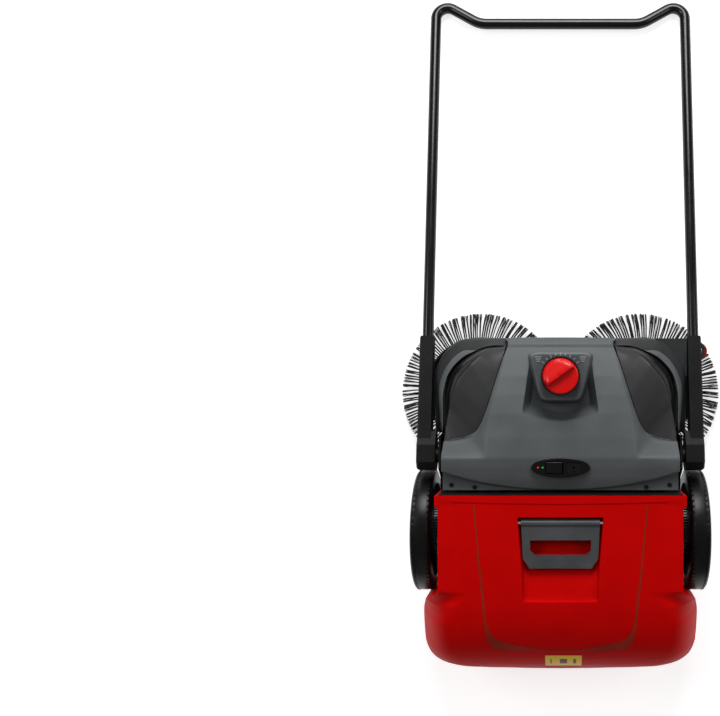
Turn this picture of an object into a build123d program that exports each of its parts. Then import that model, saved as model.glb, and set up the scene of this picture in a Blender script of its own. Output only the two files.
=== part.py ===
from build123d import *
from math import atan2, cos, degrees, pi, radians, sin, sqrt, tan
import os

# Push sweeper with two front disc brushes, a roller brush, a rear dirt container and a folding handle.
# Millimetres. +Z is up, +Y is forwards, X = 0 is the plane of symmetry, Z = 0 is the floor.
# The origin is on the floor under the middle of the whole length, handle folded forwards.

# --- Driving dimensions ---------------------------------------------------------------------------
LENGTH = 1585.0                      # handle folded forwards, front of the handle to rear of the container
REAR_Y = -LENGTH / 2
FRONT_Y = LENGTH / 2
KNOB_Y = -108.5                      # height knob, over the middle of the brush deck

WHEEL_R = 135.0
WHEEL_IN_X = 283.0                   # inner face of each tyre
WHEEL_WIDTH = 42.0
AXLE_Y = -458.0
AXLE_R = 10.0

BRUSH_R = 190.0                      # bristle tips of a disc brush
BRUSH_X = 192.0
BRUSH_Y = -146.5
BRUSH_TILT = 3.5                     # degrees, the front edge is the low one
BRUSH_LIFT = BRUSH_R * sin(radians(BRUSH_TILT)) + 1.5

PIVOT_Y = -283.5                     # handle pivot
PIVOT_Z = 200.0
TUBE_R = 12.5
TUBE_WALL = 1.5
LEG_X = 300.0                        # centreline of each handle leg
GRIP_SET_BACK = 62.0                 # the grip bar lies this far inside the corners of the handle
GRIP_BEND_X = 195.0
CORNER_BEND_R = 28.0
GRIP_BEND_R = 65.0

DECK_BOTTOM = 98.0                   # underside of the lower housing
DECK_TOP = 150.0                     # seam between lower housing and top cover
RIM_TOP = 168.0                      # top of the cover's outer rim
HOUSING_HALF = 282.0                 # half width of the housing beside the brushes
HOUSING_REAR_HALF = 263.5            # half width between the wheels
HOUSING_FRONT = -22.5
HOUSING_REAR = -354.5
HOUSING_STEP_Y = -236.0              # the housing narrows behind this line
COVER_HALF = 254.0                   # half width of the raised cover
WALL = 3.0

CONTAINER_FRONT = -362.5
CONTAINER_HALF = 260.0               # between the wheels
CONTAINER_FLARE_HALF = 309.0         # behind the wheels
CONTAINER_BOTTOM = 35.0
CONTAINER_TOP = 290.0
CONTAINER_WALL = 3.5

GEAR_MODULE = 2.0
WHEEL_TEETH = 85
PINION_TEETH = 25
GEAR_X = 272.0                       # inner face of the gear pair
GEAR_WIDTH = 7.5

ROLLER_Z = 48.0
ROLLER_R = 46.0
ROLLER_HALF = 250.0
ROLLER_SHAFT_R = 6.0
GEAR_CENTRES = GEAR_MODULE * (WHEEL_TEETH + PINION_TEETH) / 2
ROLLER_Y = AXLE_Y + sqrt(GEAR_CENTRES**2 - (WHEEL_R - ROLLER_Z) ** 2)

RUN_FIT = 0.05                       # radial running clearance of every shaft in its bore

SIDES = (("left", -1), ("right", 1))

os.makedirs("parts", exist_ok=True)


def keep(builder, label):
    """Names a finished piece and writes its STEP file."""
    builder.part.label = label
    export_step(builder.part, f"parts/{label}.step")


def across(x):
    """A sketch plane at width x whose normal points along +X; its local x is +Y and its local y is +Z."""
    return Plane(origin=(x, 0, 0), x_dir=(0, 1, 0), z_dir=(1, 0, 0))


def span(x_from, x_to, side):
    """Plane and length of something that reaches from x_from out to x_to on one side."""
    low = min(side * x_from, side * x_to)
    return across(low), abs(x_to - x_from)


# --- Lower housing: the black deck that carries everything ----------------------------------------
def housing_outline(inset=0.0):
    """Plan of the housing: round front corners, and a step in beside the wheels."""
    half = HOUSING_HALF - inset
    rear_half = HOUSING_REAR_HALF - inset
    front = HOUSING_FRONT - inset
    rear = HOUSING_REAR + inset
    step = HOUSING_STEP_Y + inset
    corner = 85.0 - inset
    with BuildLine() as line:
        Polyline((-half + corner, front), (half - corner, front))
        Line((half, front - corner), (half, step))
        Line((half, step), (rear_half, step))
        Polyline((rear_half, step), (rear_half, rear), (-rear_half, rear), (-rear_half, step))
        Line((-rear_half, step), (-half, step))
        Line((-half, step), (-half, front - corner))
        RadiusArc((half - corner, front), (half, front - corner), corner)
        RadiusArc((-half, front - corner), (-half + corner, front), corner)
    return line.line


HOUSING_WALL = 4.0
SPINDLE_HOLE_R = 17.0
SUPPORT_Y = -52.0                    # front support roller, between the two disc brushes
SUPPORT_STEM_R = 7.0

with BuildPart() as lower_housing:
    with BuildSketch(Plane.XY.offset(DECK_BOTTOM)):
        make_face(housing_outline())
    extrude(amount=DECK_TOP - DECK_BOTTOM)
    with BuildSketch(Plane.XY.offset(DECK_BOTTOM + HOUSING_WALL)):
        make_face(housing_outline(HOUSING_WALL))
    extrude(amount=DECK_TOP, mode=Mode.SUBTRACT)
    with BuildSketch(Plane.XY.offset(DECK_BOTTOM)):
        with Locations((-BRUSH_X, BRUSH_Y), (BRUSH_X, BRUSH_Y)):
            Circle(SPINDLE_HOLE_R)
    extrude(amount=HOUSING_WALL, mode=Mode.SUBTRACT)
    with BuildSketch(Plane.XY.offset(DECK_BOTTOM + HOUSING_WALL)):
        with Locations((0, SUPPORT_Y)):
            Circle(14)
    extrude(amount=16)
    with BuildSketch(Plane.XY.offset(DECK_BOTTOM)):
        with Locations((0, SUPPORT_Y)):
            Circle(SUPPORT_STEM_R + RUN_FIT)
    extrude(amount=30, mode=Mode.SUBTRACT)
keep(lower_housing, "lower_housing")


# --- Cover: side profile of the raised part -------------------------------------------------------
def raised_profile(drop=0.0):
    """Side profile of the raised cover, front lip to rear lip; drop lowers it by one wall."""
    with BuildLine() as line:
        front = Line((HOUSING_FRONT - 6 - drop, RIM_TOP), (HOUSING_FRONT - drop, 196 - drop))
        lip = Line(front @ 1, (-42, 208 - drop))
        top = Spline(lip @ 1, (-108, 246 - drop), (-190, 272 - drop), (-262, 283 - drop), (-326, 282 - drop),
                     tangents=[(-1, 0.66), (-1, -0.1)])
        rear = Line(top @ 1, (HOUSING_REAR + drop, 262 - drop))
        Polyline(rear @ 1, (HOUSING_REAR + drop, RIM_TOP), front @ 0)
    return line.line


def centre_outline(inset=0.0):
    """Plan of the centre panel: it widens towards the rear."""
    with BuildLine() as line:
        right = Spline((114 - inset, HOUSING_FRONT), (141 - inset, -153), (157 - inset, -242),
                       (159 - inset, -282))
        left = Spline((-114 + inset, HOUSING_FRONT), (-141 + inset, -153), (-157 + inset, -242),
                      (-159 + inset, -282))
        Line(right @ 0, left @ 0)
        Line(right @ 1, left @ 1)
    return line.line


def raised_block(outline, drop=0.0):
    """The raised cover's side profile, kept only over a plan outline."""
    with BuildPart() as block:
        with BuildSketch(across(-COVER_HALF)):
            make_face(raised_profile(drop))
        extrude(amount=2 * COVER_HALF)
        with BuildSketch(Plane.XY):
            make_face(outline)
        extrude(amount=400, mode=Mode.INTERSECT)
    return block.part


# --- Centre panel with the knob recess and its pedestal -------------------------------------------
PEDESTAL_TOP = 292.0
RECESS_FLOOR = 226.0


def rounded_trapezoid(front_half, rear_half, front_y, rear_y, corner):
    """Plan of the pedestal or of the recess around it."""
    with BuildSketch() as shape:
        with BuildLine():
            Polyline((-front_half, front_y), (front_half, front_y), (rear_half, rear_y), (-rear_half, rear_y),
                     close=True)
        make_face()
        fillet(shape.vertices(), corner)
    return shape.sketch


centre_block = raised_block(centre_outline())
centre_inside = raised_block(centre_outline(WALL), WALL)

with BuildPart() as recess_cut:
    with BuildSketch(Plane.XY.offset(RECESS_FLOOR)):
        add(rounded_trapezoid(62, 72, KNOB_Y + 30, KNOB_Y - 84, 14))
    with BuildSketch(Plane.XY.offset(330)):
        add(rounded_trapezoid(72, 92, KNOB_Y + 44, KNOB_Y - 110, 18))
    loft()

with BuildPart() as recess_wall:
    with BuildSketch(Plane.XY.offset(RECESS_FLOOR - WALL)):
        add(rounded_trapezoid(65, 75, KNOB_Y + 33, KNOB_Y - 87, 16))
    with BuildSketch(Plane.XY.offset(330)):
        add(rounded_trapezoid(76, 96, KNOB_Y + 48, KNOB_Y - 114, 20))
    loft()

with BuildPart() as centre_panel:
    add(centre_block)
    add(centre_inside, mode=Mode.SUBTRACT)
    add(recess_wall.part & centre_block)
    add(recess_cut.part, mode=Mode.SUBTRACT)
    with BuildSketch(Plane.XY.offset(RECESS_FLOOR - 2 * WALL)):
        with Locations((0, KNOB_Y)):
            Circle(12)
    extrude(amount=4 * WALL, mode=Mode.SUBTRACT)
keep(centre_panel, "centre_panel")

with BuildPart() as knob_pedestal:
    with BuildSketch(Plane.XY.offset(RECESS_FLOOR)):
        add(rounded_trapezoid(61, 54, KNOB_Y + 29, KNOB_Y - 58, 16))
    with BuildSketch(Plane.XY.offset(PEDESTAL_TOP)):
        add(rounded_trapezoid(60, 44, KNOB_Y + 43, KNOB_Y - 51, 14))
    loft()
    with BuildSketch(Plane.XY.offset(RECESS_FLOOR)):
        with Locations((0, KNOB_Y)):
            Circle(12)
    extrude(amount=100, mode=Mode.SUBTRACT)
keep(knob_pedestal, "knob_pedestal")

# --- Oval switch panel: its size and the places of what it holds ----------------------------------
PANEL_Y = -303.5
PANEL_HALF_LENGTH = 63.0
PANEL_HALF_WIDTH = 21.0
LIGHT_X = -48.0
ROCKER_X = -13.0
SOCKET_X = 28.0
SOCKET_R = 2.75

# --- Top cover: outer rim and the rear part behind the wings --------------------------------------
REAR_LIP_SIDE_Y = -313.0
REAR_LIP_Y = HOUSING_REAR + 2


def rear_cover_outline(inset=0.0):
    """Plan of the cover's rear part: straight in front, bowed rear lip."""
    half = COVER_HALF - inset
    with BuildLine() as line:
        front = Line((-half, -252 - inset), (half, -252 - inset))
        right = Line(front @ 1, (half, REAR_LIP_SIDE_Y + inset))
        lip = ThreePointArc(right @ 1, (0, REAR_LIP_Y + inset), (-half, REAR_LIP_SIDE_Y + inset))
        Line(lip @ 1, front @ 0)
    return line.line


rear_block = raised_block(rear_cover_outline())
rear_inside = raised_block(rear_cover_outline(WALL), WALL)

with BuildPart() as top_cover:
    with BuildSketch(Plane.XY.offset(DECK_TOP)):
        make_face(housing_outline(1))
        make_face(housing_outline(1 + WALL), mode=Mode.SUBTRACT)
    extrude(amount=RIM_TOP - WALL - DECK_TOP)
    with BuildSketch(Plane.XY.offset(RIM_TOP - WALL)):
        make_face(housing_outline(1))
        with Locations((0, -190)):
            RectangleRounded(300, 240, 12, mode=Mode.SUBTRACT)
    extrude(amount=WALL)
    add(rear_block)
    add(rear_inside, mode=Mode.SUBTRACT)
    add(centre_block, mode=Mode.SUBTRACT)
    with BuildSketch(Plane.XY.offset(RIM_TOP)):
        with Locations((0, PANEL_Y)):
            Ellipse(PANEL_HALF_LENGTH, PANEL_HALF_WIDTH)
    extrude(amount=140, mode=Mode.SUBTRACT)
keep(top_cover, "top_cover")

# --- Flat deck strip behind the cover's rear lip --------------------------------------------------
with BuildPart() as rear_deck:
    with BuildSketch(Plane.XY.offset(252)):
        with BuildLine():
            lip = ThreePointArc((COVER_HALF, REAR_LIP_SIDE_Y - 0.5), (0, REAR_LIP_Y - 0.5),
                                (-COVER_HALF, REAR_LIP_SIDE_Y - 0.5))
            Polyline(lip @ 1, (-COVER_HALF, HOUSING_REAR), (COVER_HALF, HOUSING_REAR), lip @ 0)
        make_face()
    extrude(amount=4)
    with BuildSketch(Plane.XY.offset(RIM_TOP)):
        with Locations((-205, -344), (205, -344)):
            Rectangle(70, 8)
    extrude(amount=252 - RIM_TOP)
keep(rear_deck, "rear_deck")

# --- Wings: glossy side domes and the grey crescents outside them ---------------------------------
WING_TOP = 244.0
CRESCENT_TOP = 190.0


def wing_outline(side, shrink=0.0):
    """Plan of one wing; shrink moves its front and outer edge inwards and its inner edge outwards."""
    inner_front = (side * (117 + shrink), -40 - shrink)
    with BuildLine() as line:
        outer = Spline(inner_front, (side * 168, -46 - shrink), (side * (214 - shrink * 0.7), -68 - shrink),
                       (side * (243 - shrink), -105 - shrink), (side * (254 - shrink), -165),
                       (side * (254 - shrink), -250 + shrink))
        inner = Spline(inner_front, (side * (131 + shrink), -78), (side * (157 + shrink), -165),
                       (side * (174 + shrink), -212), (side * (196 + shrink * 0.5), -236 + shrink * 0.6),
                       (side * 222, -245 + shrink), outer @ 1)
    return line.line


def crescent_outline(side, inset=0.0):
    """Plan of one crescent: a sickle between the wing and the outer rim."""
    tip = (side * 186, -51 + inset)
    end = (side * (262 - inset), -240 + inset)
    with BuildLine() as line:
        Spline(tip, (side * (219 - inset), -58 - inset), (side * (250 - inset), -90 - inset),
               (side * (268 - inset), -140), end)
        Spline(tip, (side * (219 + inset), -68), (side * (247.5 + inset), -103),
               (side * (257.5 + inset), -150), (side * (256.5 + inset), -225), end)
    return line.line


for side_name, side in SIDES:
    with BuildPart() as wing:
        with BuildSketch(Plane.XY.offset(RIM_TOP)):
            make_face(wing_outline(side))
        with BuildSketch(Plane.XY.offset(WING_TOP)):
            make_face(wing_outline(side, 24))
        loft()
        with BuildSketch(Plane.XY.offset(RIM_TOP)):
            make_face(wing_outline(side, WALL))
        with BuildSketch(Plane.XY.offset(WING_TOP - WALL)):
            make_face(wing_outline(side, 24 + WALL))
        loft(mode=Mode.SUBTRACT)
    keep(wing, f"{side_name}_wing")

    with BuildPart() as crescent:
        with BuildSketch(Plane.XY.offset(RIM_TOP)):
            make_face(crescent_outline(side))
        extrude(amount=CRESCENT_TOP - RIM_TOP)
    keep(crescent, f"{side_name}_crescent")

# --- Side plates that carry the wheels, the roller brush and the handle pivots --------------------
PLATE_THICK = 4.5
PLATE_OUT_X = HOUSING_REAR_HALF + PLATE_THICK
PIVOT_PIN_R = 10.0
ARM_IN_X = 275.0

for side_name, side in SIDES:
    plate_plane, plate_width = span(HOUSING_REAR_HALF, PLATE_OUT_X, side)
    boss_plane, boss_width = span(PLATE_OUT_X, ARM_IN_X - 0.6, side)
    bearing_plane, bearing_width = span(PLATE_OUT_X, GEAR_X - 1, side)
    with BuildPart() as side_plate:
        with BuildSketch(plate_plane):
            with BuildLine():
                Polyline((HOUSING_STEP_Y - 4, 104), (HOUSING_STEP_Y - 4, 216), (PIVOT_Y - 28, 224),
                         (PIVOT_Y - 50, 186), (AXLE_Y + 40, 172), (AXLE_Y - 40, 172), (AXLE_Y - 54, 118),
                         (AXLE_Y - 20, 104), (ROLLER_Y - 22, ROLLER_Z - 14), (ROLLER_Y + 22, ROLLER_Z - 14),
                         (ROLLER_Y + 40, 104), close=True)
            make_face()
        extrude(amount=plate_width)
        with BuildSketch(bearing_plane):
            with Locations((ROLLER_Y, ROLLER_Z)):
                Circle(14)
            with Locations((AXLE_Y, WHEEL_R)):
                Circle(20)
        extrude(amount=bearing_width)
        with BuildSketch(boss_plane):
            with Locations((PIVOT_Y, PIVOT_Z)):
                Circle(17)
        extrude(amount=boss_width)
        with BuildSketch(plate_plane):
            with Locations((ROLLER_Y, ROLLER_Z)):
                Circle(ROLLER_SHAFT_R + RUN_FIT)
        extrude(amount=plate_width + bearing_width, both=True, mode=Mode.SUBTRACT)
        with BuildSketch(plate_plane):
            with Locations((AXLE_Y, WHEEL_R)):
                Circle(AXLE_R)
            with Locations((PIVOT_Y, PIVOT_Z)):
                Circle(PIVOT_PIN_R)
        extrude(amount=plate_width + boss_width, both=True, mode=Mode.SUBTRACT)
    keep(side_plate, f"{side_name}_side_plate")

    axle_plane, axle_length = span(HOUSING_REAR_HALF, 317, side)
    with BuildPart() as stub_axle:
        with BuildSketch(axle_plane):
            with Locations((AXLE_Y, WHEEL_R)):
                Circle(AXLE_R)
        extrude(amount=axle_length)
        chamfer(stub_axle.faces().sort_by(Axis.X)[-1 if side > 0 else 0].edges(), 1)
    keep(stub_axle, f"{side_name}_stub_axle")

    pin_plane, pin_length = span(HOUSING_REAR_HALF, 313, side)
    with BuildPart() as pivot_pin:
        with BuildSketch(pin_plane):
            with Locations((PIVOT_Y, PIVOT_Z)):
                Circle(PIVOT_PIN_R)
        extrude(amount=pin_length)
        chamfer(pivot_pin.faces().sort_by(Axis.X)[-1 if side > 0 else 0].edges(), 1)
    keep(pivot_pin, f"{side_name}_pivot_pin")

# --- Wheels ---------------------------------------------------------------------------------------
TYRE_IN_R = 112.0
RIM_BAND = 6.0
HUB_R = 24.0


def gear_outline(teeth, phase, clearance):
    """Straight-sided teeth on a pitch circle, thinned by clearance at the pitch line."""
    pitch_r = GEAR_MODULE * teeth / 2
    tip_r = pitch_r + 0.8 * GEAR_MODULE
    root_r = pitch_r - 1.1 * GEAR_MODULE
    step = 2 * pi / teeth
    thinning = clearance / pitch_r
    corners = []
    for tooth in range(teeth):
        middle = phase + tooth * step
        for radius, half in ((root_r, 0.36), (tip_r, 0.13)):
            corners.append((radius, middle - half * step + thinning / 2))
        for radius, half in ((tip_r, 0.13), (root_r, 0.36)):
            corners.append((radius, middle + half * step - thinning / 2))
    return [(radius * cos(angle), radius * sin(angle)) for radius, angle in corners]


MESH_ANGLE = atan2(ROLLER_Z - WHEEL_R, ROLLER_Y - AXLE_Y)

for side_name, side in SIDES:
    tyre_plane, tyre_width = span(WHEEL_IN_X, WHEEL_IN_X + WHEEL_WIDTH, side)
    with BuildPart() as tyre:
        with BuildSketch(tyre_plane):
            with Locations((AXLE_Y, WHEEL_R)):
                Circle(WHEEL_R)
                Circle(TYRE_IN_R, mode=Mode.SUBTRACT)
        extrude(amount=tyre_width)
        fillet(tyre.edges().filter_by(GeomType.CIRCLE).filter_by(lambda edge: edge.radius > TYRE_IN_R + 1), 7)
    keep(tyre, f"{side_name}_tyre")

    rim_plane, rim_width = span(WHEEL_IN_X + 1, WHEEL_IN_X + WHEEL_WIDTH - 1, side)
    web_plane, web_width = span(299, 305, side)
    hub_plane, hub_width = span(GEAR_X + GEAR_WIDTH, 318, side)
    drum_plane, drum_width = span(GEAR_X + GEAR_WIDTH, 299, side)
    with BuildPart() as rim:
        with BuildSketch(rim_plane):
            with Locations((AXLE_Y, WHEEL_R)):
                Circle(TYRE_IN_R)
                Circle(TYRE_IN_R - RIM_BAND, mode=Mode.SUBTRACT)
        extrude(amount=rim_width)
        with BuildSketch(web_plane):
            with Locations((AXLE_Y, WHEEL_R)):
                Circle(TYRE_IN_R - RIM_BAND)
                with PolarLocations(88, 8):
                    Circle(9, mode=Mode.SUBTRACT)
        extrude(amount=web_width)
        with BuildSketch(hub_plane):
            with Locations((AXLE_Y, WHEEL_R)):
                Circle(HUB_R)
        extrude(amount=hub_width)
        with BuildSketch(drum_plane):
            with Locations((AXLE_Y, WHEEL_R)):
                Circle(76)
                Circle(71, mode=Mode.SUBTRACT)
        extrude(amount=drum_width)
        with BuildSketch(hub_plane):
            with Locations((AXLE_Y, WHEEL_R)):
                Circle(AXLE_R + RUN_FIT)
        extrude(amount=hub_width, both=True, mode=Mode.SUBTRACT)
    keep(rim, f"{side_name}_rim")

    cap_plane, cap_width = span(318, 323, side)
    with BuildPart() as hub_cap:
        with BuildSketch(cap_plane):
            with Locations((AXLE_Y, WHEEL_R)):
                Circle(22)
        extrude(amount=cap_width)
        fillet(hub_cap.faces().sort_by(Axis.X)[-1 if side > 0 else 0].edges(), 3)
    keep(hub_cap, f"{side_name}_hub_cap")

    gear_plane, gear_width = span(GEAR_X, GEAR_X + GEAR_WIDTH, side)
    with BuildPart() as wheel_gear:
        with BuildSketch(gear_plane):
            with Locations((AXLE_Y, WHEEL_R)):
                Polygon(*gear_outline(WHEEL_TEETH, MESH_ANGLE, 0.5), align=None)
                Circle(69, mode=Mode.SUBTRACT)
        extrude(amount=gear_width)
    keep(wheel_gear, f"{side_name}_wheel_gear")

# --- Roller brush in front of the container, driven by the left wheel -----------------------------
with BuildPart() as roller_shaft:
    with BuildSketch(across(-GEAR_X - GEAR_WIDTH)):
        with Locations((ROLLER_Y, ROLLER_Z)):
            Circle(ROLLER_SHAFT_R)
    extrude(amount=2 * GEAR_X + GEAR_WIDTH)
    with BuildSketch(across(-ROLLER_HALF - 5)):
        with Locations((ROLLER_Y, ROLLER_Z)):
            Circle(15)
    extrude(amount=2 * ROLLER_HALF + 10)
keep(roller_shaft, "roller_shaft")

with BuildPart() as roller_bristles:
    with BuildSketch(across(-ROLLER_HALF)):
        with Locations((ROLLER_Y, ROLLER_Z)):
            Circle(ROLLER_R)
            Circle(15, mode=Mode.SUBTRACT)
    extrude(amount=2 * ROLLER_HALF)
keep(roller_bristles, "roller_bristles")

with BuildPart() as roller_pinion:
    with BuildSketch(across(-GEAR_X - GEAR_WIDTH)):
        with Locations((ROLLER_Y, ROLLER_Z)):
            Polygon(*gear_outline(PINION_TEETH, MESH_ANGLE + pi + pi / PINION_TEETH, 0.5), align=None)
            Circle(ROLLER_SHAFT_R, mode=Mode.SUBTRACT)
    extrude(amount=GEAR_WIDTH)
keep(roller_pinion, "roller_pinion")

# --- Disc brushes: plate, bristle ring, spindle, and the gearbox each one hangs from --------------
PLATE_LOW = 60.0                     # underside of a brush plate above the bristle tips
PLATE_R = 124.0
SPINDLE_R = 7.0
SPINDLE_TOP = 126.0
GEARBOX_R = 29.0
CROSS_SHAFT_R = 4.0
CROSS_SHAFT_Z = 124.0
CROSS_SHAFT_HALF = 176.0
PULLEY_X = -26.0
PULLEY_WIDTH = 10.0
PULLEY_R = 19.0
MOTOR_PULLEY_R = 11.0
MOTOR_Y = -215.0


def brush_plane(side, height):
    """Plane square to a disc brush's tilted axis, at a height above the bristle tips."""
    lean = radians(BRUSH_TILT)
    centre = Vector(side * BRUSH_X, BRUSH_Y, BRUSH_LIFT) + Vector(0, sin(lean), cos(lean)) * height
    return Plane(origin=centre, x_dir=(1, 0, 0), z_dir=(0, sin(lean), cos(lean)))


for side_name, side in SIDES:
    with BuildPart() as brush_plate:
        with BuildSketch(brush_plane(side, PLATE_LOW)):
            Circle(PLATE_R)
            Circle(SPINDLE_R, mode=Mode.SUBTRACT)
        extrude(amount=6)
        with BuildSketch(brush_plane(side, PLATE_LOW + 6)):
            Circle(PLATE_R)
            Circle(PLATE_R - 5, mode=Mode.SUBTRACT)
            Circle(15)
            Circle(SPINDLE_R, mode=Mode.SUBTRACT)
        extrude(amount=7)
    keep(brush_plate, f"{side_name}_brush_plate")

    axis_at_floor = brush_plane(side, 0)
    ring_section = Plane(origin=axis_at_floor.origin, x_dir=(1, 0, 0), z_dir=axis_at_floor.y_dir)
    with BuildPart() as brush_bristles:
        with BuildSketch(ring_section):
            Polygon((88, -59.9), (PLATE_R, -59.9), (BRUSH_R, -9), (BRUSH_R - 6, 0), (132, 0), align=None)
        revolve(axis=Axis(axis_at_floor.origin, axis_at_floor.z_dir))
    keep(brush_bristles, f"{side_name}_brush_bristles")

    with BuildPart() as brush_spindle:
        with BuildSketch(brush_plane(side, PLATE_LOW - 8)):
            RegularPolygon(11, 6)
        extrude(amount=8)
        with BuildSketch(brush_plane(side, PLATE_LOW)):
            Circle(SPINDLE_R)
        extrude(amount=SPINDLE_TOP - PLATE_LOW)
    keep(brush_spindle, f"{side_name}_brush_spindle")

    with BuildPart() as gearbox:
        with BuildSketch(brush_plane(side, 78)):
            Circle(GEARBOX_R)
        extrude(amount=54)
        with BuildSketch(brush_plane(side, 70)):
            Circle(SPINDLE_R + RUN_FIT)
        extrude(amount=SPINDLE_TOP - 70 + 1, mode=Mode.SUBTRACT)
        split(bisect_by=Plane.XY.offset(DECK_BOTTOM + HOUSING_WALL), keep=Keep.TOP)
        shaft_plane, shaft_depth = span(150, CROSS_SHAFT_HALF + 2, side)
        with BuildSketch(shaft_plane):
            with Locations((BRUSH_Y, CROSS_SHAFT_Z)):
                Circle(CROSS_SHAFT_R + RUN_FIT)
        extrude(amount=shaft_depth, mode=Mode.SUBTRACT)
    keep(gearbox, f"{side_name}_gearbox")

with BuildPart() as cross_shaft:
    with BuildSketch(across(-CROSS_SHAFT_HALF)):
        with Locations((BRUSH_Y, CROSS_SHAFT_Z)):
            Circle(CROSS_SHAFT_R)
    extrude(amount=2 * CROSS_SHAFT_HALF)
    with BuildSketch(across(PULLEY_X)):
        with Locations((BRUSH_Y, CROSS_SHAFT_Z)):
            Circle(PULLEY_R)
    extrude(amount=PULLEY_WIDTH)
keep(cross_shaft, "cross_shaft")

# --- Battery, motor and control board, inside the housing -----------------------------------------
FLOOR_INSIDE = DECK_BOTTOM + HOUSING_WALL
BATTERY_TOP = 160.0
MOTOR_Z = FLOOR_INSIDE + 25
BELT_GAP = 0.4

with BuildPart() as battery_pack:
    with BuildSketch(Plane.XY.offset(FLOOR_INSIDE)):
        with Locations((0, -290)):
            RectangleRounded(150, 66, 6)
    extrude(amount=BATTERY_TOP - FLOOR_INSIDE)
    chamfer(battery_pack.faces().sort_by(Axis.Z)[-1].edges(), 2)
keep(battery_pack, "battery_pack")

with BuildPart() as drive_motor:
    with BuildSketch(across(-110)):
        with Locations((MOTOR_Y, MOTOR_Z)):
            Circle(25)
    extrude(amount=76)
    with BuildSketch(across(-34)):
        with Locations((MOTOR_Y, MOTOR_Z)):
            Circle(9)
    extrude(amount=6)
    with BuildSketch(across(PULLEY_X - 2)):
        with Locations((MOTOR_Y, MOTOR_Z)):
            Circle(MOTOR_PULLEY_R)
    extrude(amount=PULLEY_WIDTH + 2)
keep(drive_motor, "drive_motor")

with BuildPart() as drive_belt:
    for gap, mode in ((BELT_GAP + 2, Mode.ADD), (BELT_GAP, Mode.SUBTRACT)):
        with BuildSketch(across(PULLEY_X + 1)):
            with BuildSketch(mode=Mode.PRIVATE) as pulleys:
                with Locations((BRUSH_Y, CROSS_SHAFT_Z)):
                    Circle(PULLEY_R + gap)
                with Locations((MOTOR_Y, MOTOR_Z)):
                    Circle(MOTOR_PULLEY_R + gap)
            make_hull(pulleys.sketch.edges())
        extrude(amount=PULLEY_WIDTH - 2, mode=mode)
keep(drive_belt, "drive_belt")

with BuildPart() as control_board:
    with BuildSketch(Plane.XY.offset(BATTERY_TOP)):
        with GridLocations(96, 26, 2, 2):
            with Locations((0, -290)):
                Circle(3)
    extrude(amount=8)
    with BuildSketch(Plane.XY.offset(BATTERY_TOP + 8)):
        with Locations((0, -290)):
            Rectangle(110, 38)
    extrude(amount=1.6)
keep(control_board, "control_board")

# --- Height adjuster: knob, threaded spindle, lifting yoke and the front support roller -----------
KNOB_LOW = PEDESTAL_TOP + 2
KNOB_R = 41.5
CAP_R = 38.5
KNOB_SPINDLE_R = 6.0
GRIP_RIDGE_ANGLE = 36.0
YOKE_LOW = 130.0
SUPPORT_ROLLER_R = 20.0
SUPPORT_ROLLER_HALF = 11.0

with BuildPart() as knob_ring:
    with BuildSketch(Plane.XY.offset(KNOB_LOW)):
        with Locations((0, KNOB_Y)):
            Circle(KNOB_R)
            with PolarLocations(KNOB_R + 0.6, 30):
                Circle(1.8, mode=Mode.SUBTRACT)
            Circle(CAP_R, mode=Mode.SUBTRACT)
    extrude(amount=20)
keep(knob_ring, "knob_ring")

with BuildPart() as height_knob:
    with BuildSketch(Plane.XY.offset(KNOB_LOW)):
        with Locations((0, KNOB_Y)):
            Circle(CAP_R)
    extrude(amount=23)
    fillet(height_knob.faces().sort_by(Axis.Z)[-1].edges(), 3)
    with BuildSketch(Plane.XY.offset(KNOB_LOW + 23)):
        with Locations(Location((0, KNOB_Y), GRIP_RIDGE_ANGLE)):
            SlotOverall(72, 15)
    extrude(amount=12, taper=12)
keep(height_knob, "height_knob")

with BuildPart() as height_spindle:
    with BuildSketch(Plane.XY.offset(112)):
        with Locations((0, KNOB_Y)):
            Circle(KNOB_SPINDLE_R)
    extrude(amount=KNOB_LOW - 112)
keep(height_spindle, "height_spindle")

with BuildPart() as lift_yoke:
    with BuildSketch(Plane.XY.offset(YOKE_LOW)):
        with Locations((0, KNOB_Y)):
            Circle(14)
        with Locations((0, SUPPORT_Y)):
            Circle(13)
        with Locations((0, (KNOB_Y + SUPPORT_Y) / 2)):
            Rectangle(18, SUPPORT_Y - KNOB_Y)
        with Locations((0, KNOB_Y)):
            Circle(KNOB_SPINDLE_R + RUN_FIT, mode=Mode.SUBTRACT)
        with Locations((0, SUPPORT_Y)):
            Circle(SUPPORT_STEM_R, mode=Mode.SUBTRACT)
    extrude(amount=6)
keep(lift_yoke, "lift_yoke")

with BuildPart() as support_fork:
    with BuildSketch(Plane.XY.offset(50)):
        with Locations((0, SUPPORT_Y)):
            Circle(SUPPORT_STEM_R)
    extrude(amount=YOKE_LOW + 6 - 50)
    with BuildSketch(Plane.XY.offset(44)):
        with Locations((0, SUPPORT_Y)):
            RectangleRounded(30, 16, 3)
    extrude(amount=6)
    with BuildSketch(Plane.XY.offset(12)):
        with Locations((-13, SUPPORT_Y), (13, SUPPORT_Y)):
            Rectangle(3, 14)
    extrude(amount=32)
    with BuildSketch(across(-14.5)):
        with Locations((SUPPORT_Y, SUPPORT_ROLLER_R)):
            Circle(3)
    extrude(amount=29)
keep(support_fork, "support_fork")

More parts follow.
